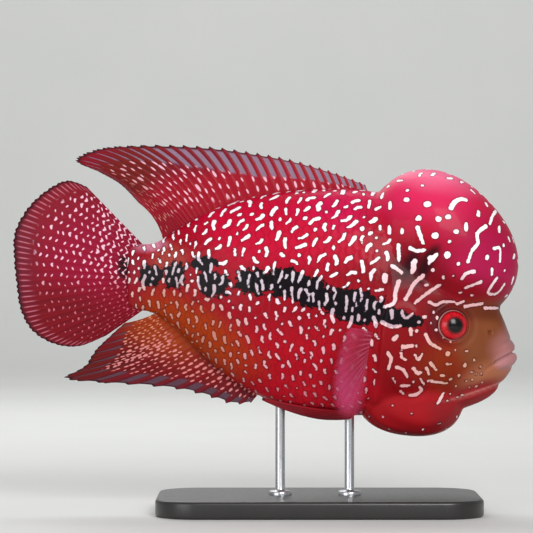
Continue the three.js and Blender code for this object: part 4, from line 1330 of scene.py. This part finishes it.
# %% Anal fin
anal_material = fin_material(
    "anal fin", dots=(2, 3.5, 0.62, 1.1, 0.4), zone=(0.1, 0.8),
    dot_tones=(paint(206, 124, 122), paint(200, 124, 94)), small_from=(10, 15),
    window=(0.66, 0.98, paint(84, 58, 76), 0.75, 0.2), streaks=NO_STREAKS, edge=0.9,
)
anal_washes = (paint(98, 8, 14), [
    ("orange root", paint(150, 56, 8), (-50, 94), (30, 13), -30, 0.6, 1.0),
    ("red middle", paint(116, 8, 16), (-26, 72), (26, 10), -10, 0.6, 0.7),
    ("dusky margin", paint(70, 24, 38), (-52, 63), (56, 5), -6, 0.8, 0.8),
    ("brown point", paint(66, 18, 10), (-92, 74), (20, 9), 20, 0.6, 0.8),
])
bend_fin(
    "anal_fin_web", 17, 30, 0.14, lambda u: float(smooth_step(0.4, 0.6, u)),
    back_or_belly_ray(ANAL, False, -0.02, -0.1, 1.2), (0.3, 0.16, 0.7, 0.26),
    anal_material, ["anal_fin"], anal_washes,
)

# %% [markdown]
# ### Caudal fin
# The tail fin is a round fan of forked soft rays, crimson to purple, with rings of pale dashes
# near its root and smaller dots further out. Its rim is streaked pale and dark.

# %% Caudal fin
caudal_material = fin_material(
    "caudal fin", dots=(1, 3.8, 0.95, 0.58, 0.35), zone=(0.06, 0.88),
    dot_tones=(paint(232, 182, 202), paint(192, 92, 108)), small_from=(10, 17),
    window=(2.0, 2.0, paint(176, 116, 138), 0.7, 0.0), streaks=(0.86, paint(206, 130, 152), 0.5), edge=0.75,
)
caudal_washes = (paint(124, 4, 28), [
    ("rosy middle", paint(150, 6, 52), (-92, 136), (24, 22), 0, 0.7, 0.9),
    ("dusky lower part", paint(104, 4, 18), (-104, 98), (30, 16), -20, 0.6, 0.9),
    ("last blotch", paint(14, 4, 10), (-73.6, 127.6), (3.4, 6.4), 0, 0.25, 1.0),
    ("purple rim", paint(96, 22, 42), (-130, 130), (10, 34), 0, 0.7, 0.7),
])
bend_fin(
    "caudal_fin_web", 26, 36, 0, lambda u: 1.0, tail_ray, (0.32, 0.15, 0.75, 0.24),
    caudal_material, ["caudal_fin"], caudal_washes,
)

# %% [markdown]
# ### Pectoral fins
# The paired fins behind the gills are clear fans that hang back beside the flanks.
# Nearly all their colour is a pink haze, and the body shows through.
# Their surface isn't in the middle plane, so the direction across it is found from two small steps on it.

# %% Pectoral fins
PECTORAL_TOP = (56.8, 92.5)
PECTORAL_FOOT = (52.0, 77.5)
# x, distance out from the trunk's side, z
PECTORAL_TIPS = [(41.0, 9, 96.5), (36.0, 14, 83.5), (33.5, 17, 66.5), (36.5, 17, 53.0), (48.5, 14, 48.5)]


def with_direction(place):
    """Adds the direction across a surface to a rule for its places."""
    def ray(u, share):
        along_u = place(min(u + SMALL_STEP, 1), share) - place(max(u - SMALL_STEP, 0), share)
        along_share = place(u, min(share + SMALL_STEP, 1)) - place(u, max(share - SMALL_STEP, 0))
        return place(u, share), along_u.cross(along_share).normalized()
    return ray


def pectoral_place(side):
    def place(u, share):
        x = PECTORAL_TOP[0] + (PECTORAL_FOOT[0] - PECTORAL_TOP[0]) * u
        z = PECTORAL_TOP[1] + (PECTORAL_FOOT[1] - PECTORAL_TOP[1]) * u
        out = side_at(x, z)
        root = Vector((x, out - ROOT_SINK, z))
        tip_x, tip_out, tip_z = along_rows(PECTORAL_TIPS, u)
        tip = Vector((tip_x, out + tip_out, tip_z))
        pull = root.lerp(tip, 0.55) + Vector((2, 3, 2))
        spot = root * (1 - share) ** 2 + pull * (2 * share * (1 - share)) + tip * share**2
        return Vector((spot.x, spot.y * side, spot.z))
    return place


def clear_fin_material():
    """A pink haze: densest at the root, and nearly clear at the margin and on the lowest rays."""
    material, tree, shader = new_material("clear pectoral fin", Specular_IOR_Level=0.2, Roughness=0.4)
    parts = add_node(tree, "ShaderNodeSeparateXYZ", {0: read_attribute(tree, "rows", "Vector")}).outputs
    number, share = parts[0], parts[2]
    crest = read_attribute(tree, "crest")
    ground = read_attribute(tree, "ground", "Color")
    near_root = sum_of(tree, "MULTIPLY_ADD", mask_of(tree, share, 0.5, 0.2), 0.5, 0.04)
    pale_rays = sum_of(tree, "MULTIPLY", crest, near_root)
    pink = laid_over(tree, pale_rays, ground, colour(paint(222, 128, 158)))
    tree.links.new(pink, shader.inputs["Base Color"])
    haze = sum_of(tree, "MULTIPLY_ADD", crest, 0.06, 0.6)
    dense = sum_of(tree, "MULTIPLY_ADD", mask_of(tree, share, 0.25, 0.0), 0.3, haze)
    inside = sum_of(tree, "MULTIPLY", mask_of(tree, share, 1.0, 0.74), mask_of(tree, number, 12.0, 8.5))
    soft_rim = sum_of(tree, "MULTIPLY_ADD", inside, 0.96, 0.04)
    tree.links.new(sum_of(tree, "MULTIPLY", dense, soft_rim), shader.inputs["Alpha"])
    return material


pectoral_material = clear_fin_material()
pectoral_washes = (paint(184, 60, 104), [
    ("rosy root", paint(170, 36, 62), (52, 86), (14, 14), 0, 0.8, 0.9),
])
for word, side in SIDES.items():
    bend_fin(
        f"pectoral_fin_{word}_web", 13, 24, 0.04, lambda u: 0.8, with_direction(pectoral_place(side)),
        (0.28, 0.14, 0.5, 0.2), pectoral_material, [f"pectoral_fin_{word}"], pectoral_washes,
    )

# %% [markdown]
# ### Pelvic fins
# The pelvic fins are folded back along the belly.
# On the fish each has one spine and five soft rays, so six rays are made.

# %% Pelvic fins
# x, y, z from root to tip along the lower and the upper edge
PELVIC_LOWER = [
    (49.5, 8.6, 50.5), (42, 8.0, 48.9), (30, 7.4, 48.8), (19, 6.8, 50.9), (8, 6.2, 54.5), (-1.5, 5.6, 58.6),
]
PELVIC_UPPER = [
    (43.5, 12.6, 53.2), (37, 13.4, 53.4), (27, 13.4, 54.2), (17, 12.0, 55.8), (8, 9.4, 57.6),
    (-0.8, 6.4, 59.4),
]


def pelvic_place(side):
    def place(u, share):
        spot = Vector(along_rows(PELVIC_LOWER, share)).lerp(Vector(along_rows(PELVIC_UPPER, share)), u)
        sunk = 2 * ROOT_SINK * max(0, 1 - 7 * share)
        return Vector((spot.x, spot.y * side, spot.z + sunk))
    return place


pelvic_material = fin_material(
    "pelvic fin", dots=(1, 5, 0.5, 0.5, 0.3), zone=(3.0, 4.0),
    dot_tones=(paint(222, 150, 150), paint(222, 150, 150)), small_from=(2, 4),
    window=(0.55, 0.55, paint(104, 66, 76), 0.5, 0.1), streaks=NO_STREAKS, edge=0.7,
)
pelvic_washes = (paint(164, 26, 38), [("dusky edge", paint(84, 40, 48), (20, 47), (40, 4), 0, 0.8, 0.8)])
for word, side in SIDES.items():
    bend_fin(
        f"pelvic_fin_{word}_web", 6, 30, 0, lambda u: 0.3, with_direction(pelvic_place(side)),
        (0.4, 0.26, 0.75, 0.34), pelvic_material, [f"pelvic_fin_{word}"], pelvic_washes,
    )

# %% [markdown]
# ## Eyes
# The eye is a flattened ball with a red iris round a black pupil, under a clear wet surface.
# Its outline from front to back is a short row of points, spun into a ball round the line of sight.
# Each vertex keeps its distance from that line, so pupil and iris stay perfectly round.

# %% The eye material
def eye_material():
    material, tree, shader = new_material(
        "red eye", Specular_IOR_Level=0.2, Roughness=0.25, Coat_Weight=0.3, Coat_Roughness=0.02
    )
    out = read_attribute(tree, "from axis")
    around = read_attribute(tree, "around eye", "Vector")
    fibres = add_node(
        tree, "ShaderNodeTexNoise", {"Vector": around, "Scale": 7.0, "Detail": 3.0, "Roughness": 0.6}
    ).outputs["Fac"]
    bright, deep = colour(paint(206, 6, 28)), colour(paint(148, 2, 14))
    iris = laid_over(tree, mask_of(tree, fibres, 0.35, 0.7), bright, deep)
    outer = laid_over(tree, mask_of(tree, out, 6.2, 7.4), iris, colour(paint(112, 8, 18)))
    halo = sum_of(tree, "MULTIPLY", mask_of(tree, out, 5.2, 4.0), 0.85)
    inner = laid_over(tree, halo, outer, colour(paint(70, 2, 8)))
    pupil = laid_over(tree, mask_of(tree, out, 3.75, 3.5), inner, colour(paint(6, 4, 5)))
    pale = product_of(tree, mask_of(tree, out, 7.35, 7.6), mask_of(tree, out, 8.2, 7.9), 0.8)
    tree.links.new(laid_over(tree, pale, pupil, colour(paint(196, 150, 146))), shader.inputs["Base Color"])
    return material


# %% A helper that spins an outline into a closed body
def spun(outline, steps):
    """Turns an outline of radius and height round the upright axis."""
    bm = bmesh.new()
    points = [bm.verts.new((radius, 0, height)) for radius, height in outline]
    edges = [bm.edges.new(pair) for pair in zip(points, points[1:])]
    bmesh.ops.spin(
        bm, geom=points + edges, cent=(0, 0, 0), axis=(0, 0, 1), angle=2 * math.pi,
        steps=steps, use_merge=True,
    )
    bmesh.ops.remove_doubles(bm, verts=bm.verts, dist=1e-4)
    bmesh.ops.recalc_face_normals(bm, faces=bm.faces)
    return bm


# %% Spin the eyeballs
EYE_POINTS = 28
DOME_RISE = 0.5
DOME_SPREAD = 0.75
red_eye = eye_material()
for word, side in SIDES.items():
    spot, out = eye_place(side)
    outline = []
    for n in range(EYE_POINTS + 1):
        a = math.pi * n / EYE_POINTS
        dome = DOME_RISE * math.exp(-((a / DOME_SPREAD) ** 2))
        outline.append((EYE["radius"] * math.sin(a), EYE["depth"] * math.cos(a) + dome))
    eye = spun(outline, 64)
    axis_layer = eye.verts.layers.float.new("from axis")
    around_layer = eye.verts.layers.float_vector.new("around eye")
    for vert in eye.verts:
        flat = Vector((vert.co.x, vert.co.y))
        vert[axis_layer] = flat.length
        vert[around_layer] = (*(flat.normalized() if flat.length else flat), flat.length * 0.06)
    turn = Vector((0, 0, 1)).rotation_difference(out).to_matrix()
    bmesh.ops.rotate(eye, cent=(0, 0, 0), matrix=turn, verts=eye.verts)
    bmesh.ops.translate(eye, vec=spot - out * EYE["sunk"], verts=eye.verts)
    finish_piece(eye, f"eyeball_{word}", red_eye, [f"eye_{word}"])

# %% [markdown]
# ## The stand
# A swimming fish needs something to hold it: a satin black base and two thin steel rods.
# The base is a block with round upright corners and a fine bevel at its top and foot.
# Each rod is turned with its flange from one outline.

# %% The base and rod materials
def base_material():
    material, tree, shader = new_material("satin black base", Coat_Weight=0.2, Coat_Roughness=0.3)
    cloud = object_noise(tree, 45, 4)
    black_tone = laid_over(tree, cloud, colour(paint(26, 25, 24)), colour(paint(38, 37, 36)))
    tree.links.new(black_tone, shader.inputs["Base Color"])
    satin = sum_of(tree, "MULTIPLY_ADD", object_noise(tree, 700), 0.2, 0.28)
    tree.links.new(satin, shader.inputs["Roughness"])
    grain = object_noise(tree, 2600)
    bump = add_node(tree, "ShaderNodeBump", {"Height": grain, "Strength": 0.2, "Distance": 0.0001})
    tree.links.new(bump.outputs["Normal"], shader.inputs["Normal"])
    return material


def rod_material():
    material, tree, shader = new_material("brushed steel", Metallic=1.0)
    where = add_node(tree, "ShaderNodeTexCoord", {}).outputs["Object"]
    stretched = add_node(tree, "ShaderNodeMapping", {"Vector": where, "Scale": (400, 400, 6000)}).outputs[0]
    inputs = {"Vector": stretched, "Scale": 1.0, "Detail": 2.0}
    lines = add_node(tree, "ShaderNodeTexNoise", inputs).outputs["Fac"]
    steel = laid_over(tree, lines, colour(paint(176, 178, 182)), colour(paint(206, 208, 212)))
    tree.links.new(steel, shader.inputs["Base Color"])
    tree.links.new(sum_of(tree, "MULTIPLY_ADD", lines, 0.2, 0.2), shader.inputs["Roughness"])
    return material


# %% The base
BASE = dict(x=28, length=168, width=92, height=9, corner=22, bevel=1.6)


def bevel_edges(bm, edges, offset, segments):
    bmesh.ops.bevel(
        bm, geom=edges, offset=offset, segments=segments, profile=0.5, affect="EDGES", material=-1
    )


base = bmesh.new()
bmesh.ops.create_cube(base, size=1)
bmesh.ops.scale(base, vec=(BASE["length"], BASE["width"], BASE["height"]), verts=base.verts)
bmesh.ops.translate(base, vec=(BASE["x"], 0, BASE["height"] / 2), verts=base.verts)
upright = [edge for edge in base.edges if abs(edge.verts[0].co.z - edge.verts[1].co.z) > 1]
bevel_edges(base, upright, BASE["corner"], 12)
level = [edge for edge in base.edges if abs(edge.verts[0].co.z - edge.verts[1].co.z) < 1e-4]
bevel_edges(base, level, BASE["bevel"], 4)
base_piece = finish_piece(base, "display_base", base_material(), ["stand_base"])
base_piece.data.set_sharp_from_angle(angle=math.radians(40))

# %% The rods
ROD = dict(radius=2.5, flange=6.0, flange_height=2.2)
steel = rod_material()
for word, x in (("rear", 8), ("front", 44)):
    foot = BASE["height"]
    top = float(trunk_at(x)[1]) + 2
    flange_top = foot + ROD["flange_height"]
    outline = [
        (0, foot), (ROD["flange"], foot), (ROD["flange"], foot + 1.3), (5.7, foot + 1.9),
        (5.0, flange_top), (3.3, flange_top), (2.7, flange_top + 0.3), (ROD["radius"], flange_top + 0.9),
        (ROD["radius"], top), (0, top),
    ]
    rod = spun(outline, 40)
    bmesh.ops.translate(rod, vec=(x, 0, 0), verts=rod.verts)
    rod_piece = finish_piece(rod, f"display_rod_{word}", steel, [f"stand_rod_{word}"])
    rod_piece.data.set_sharp_from_angle(angle=math.radians(50))

# %% [markdown]
# ## The floor
# A plain pale sweep: a floor that curves up behind, so that no line crosses the picture.
# One edge is drawn back and then up in small turns, which is what spin does with an open angle.

# %% The floor sweep
SWEEP = dict(half_width=3000, front=-2600, back=2000, radius=900)
floor = bmesh.new()
front = [floor.verts.new((x, SWEEP["front"], 0)) for x in (-SWEEP["half_width"], SWEEP["half_width"])]
strip = [floor.edges.new(front)]
drawn = bmesh.ops.extrude_edge_only(floor, edges=strip)["geom"]
moved = [item for item in drawn if isinstance(item, bmesh.types.BMVert)]
bmesh.ops.translate(floor, vec=(0, SWEEP["back"] - SWEEP["front"], 0), verts=moved)
rim = [
    item for item in drawn
    if isinstance(item, bmesh.types.BMEdge) and all(vert in moved for vert in item.verts)
]
bmesh.ops.spin(
    floor, geom=moved + rim, cent=(0, SWEEP["back"], SWEEP["radius"]), axis=(1, 0, 0),
    angle=math.radians(90), steps=24, use_merge=False,
)
bmesh.ops.remove_doubles(floor, verts=floor.verts, dist=0.01)
bmesh.ops.scale(floor, vec=(MM, MM, MM), verts=floor.verts)
bmesh.ops.recalc_face_normals(floor, faces=floor.faces)
floor_mesh = bpy.data.meshes.new("floor")
floor.to_mesh(floor_mesh)
floor.free()
floor_mesh.shade_smooth()
pale, pale_tree, pale_shader = new_material("pale floor", Roughness=0.7)
grey, white = colour(paint(206, 208, 206)), colour(paint(214, 215, 213))
tone = laid_over(pale_tree, object_noise(pale_tree, 6), grey, white)
pale_tree.links.new(tone, pale_shader.inputs["Base Color"])
floor_mesh.materials.append(pale)
floor_piece = bpy.data.objects.new("floor", floor_mesh)
bpy.context.scene.collection.objects.link(floor_piece)
print("the floor curves up from, m:", SWEEP["back"] * MM)
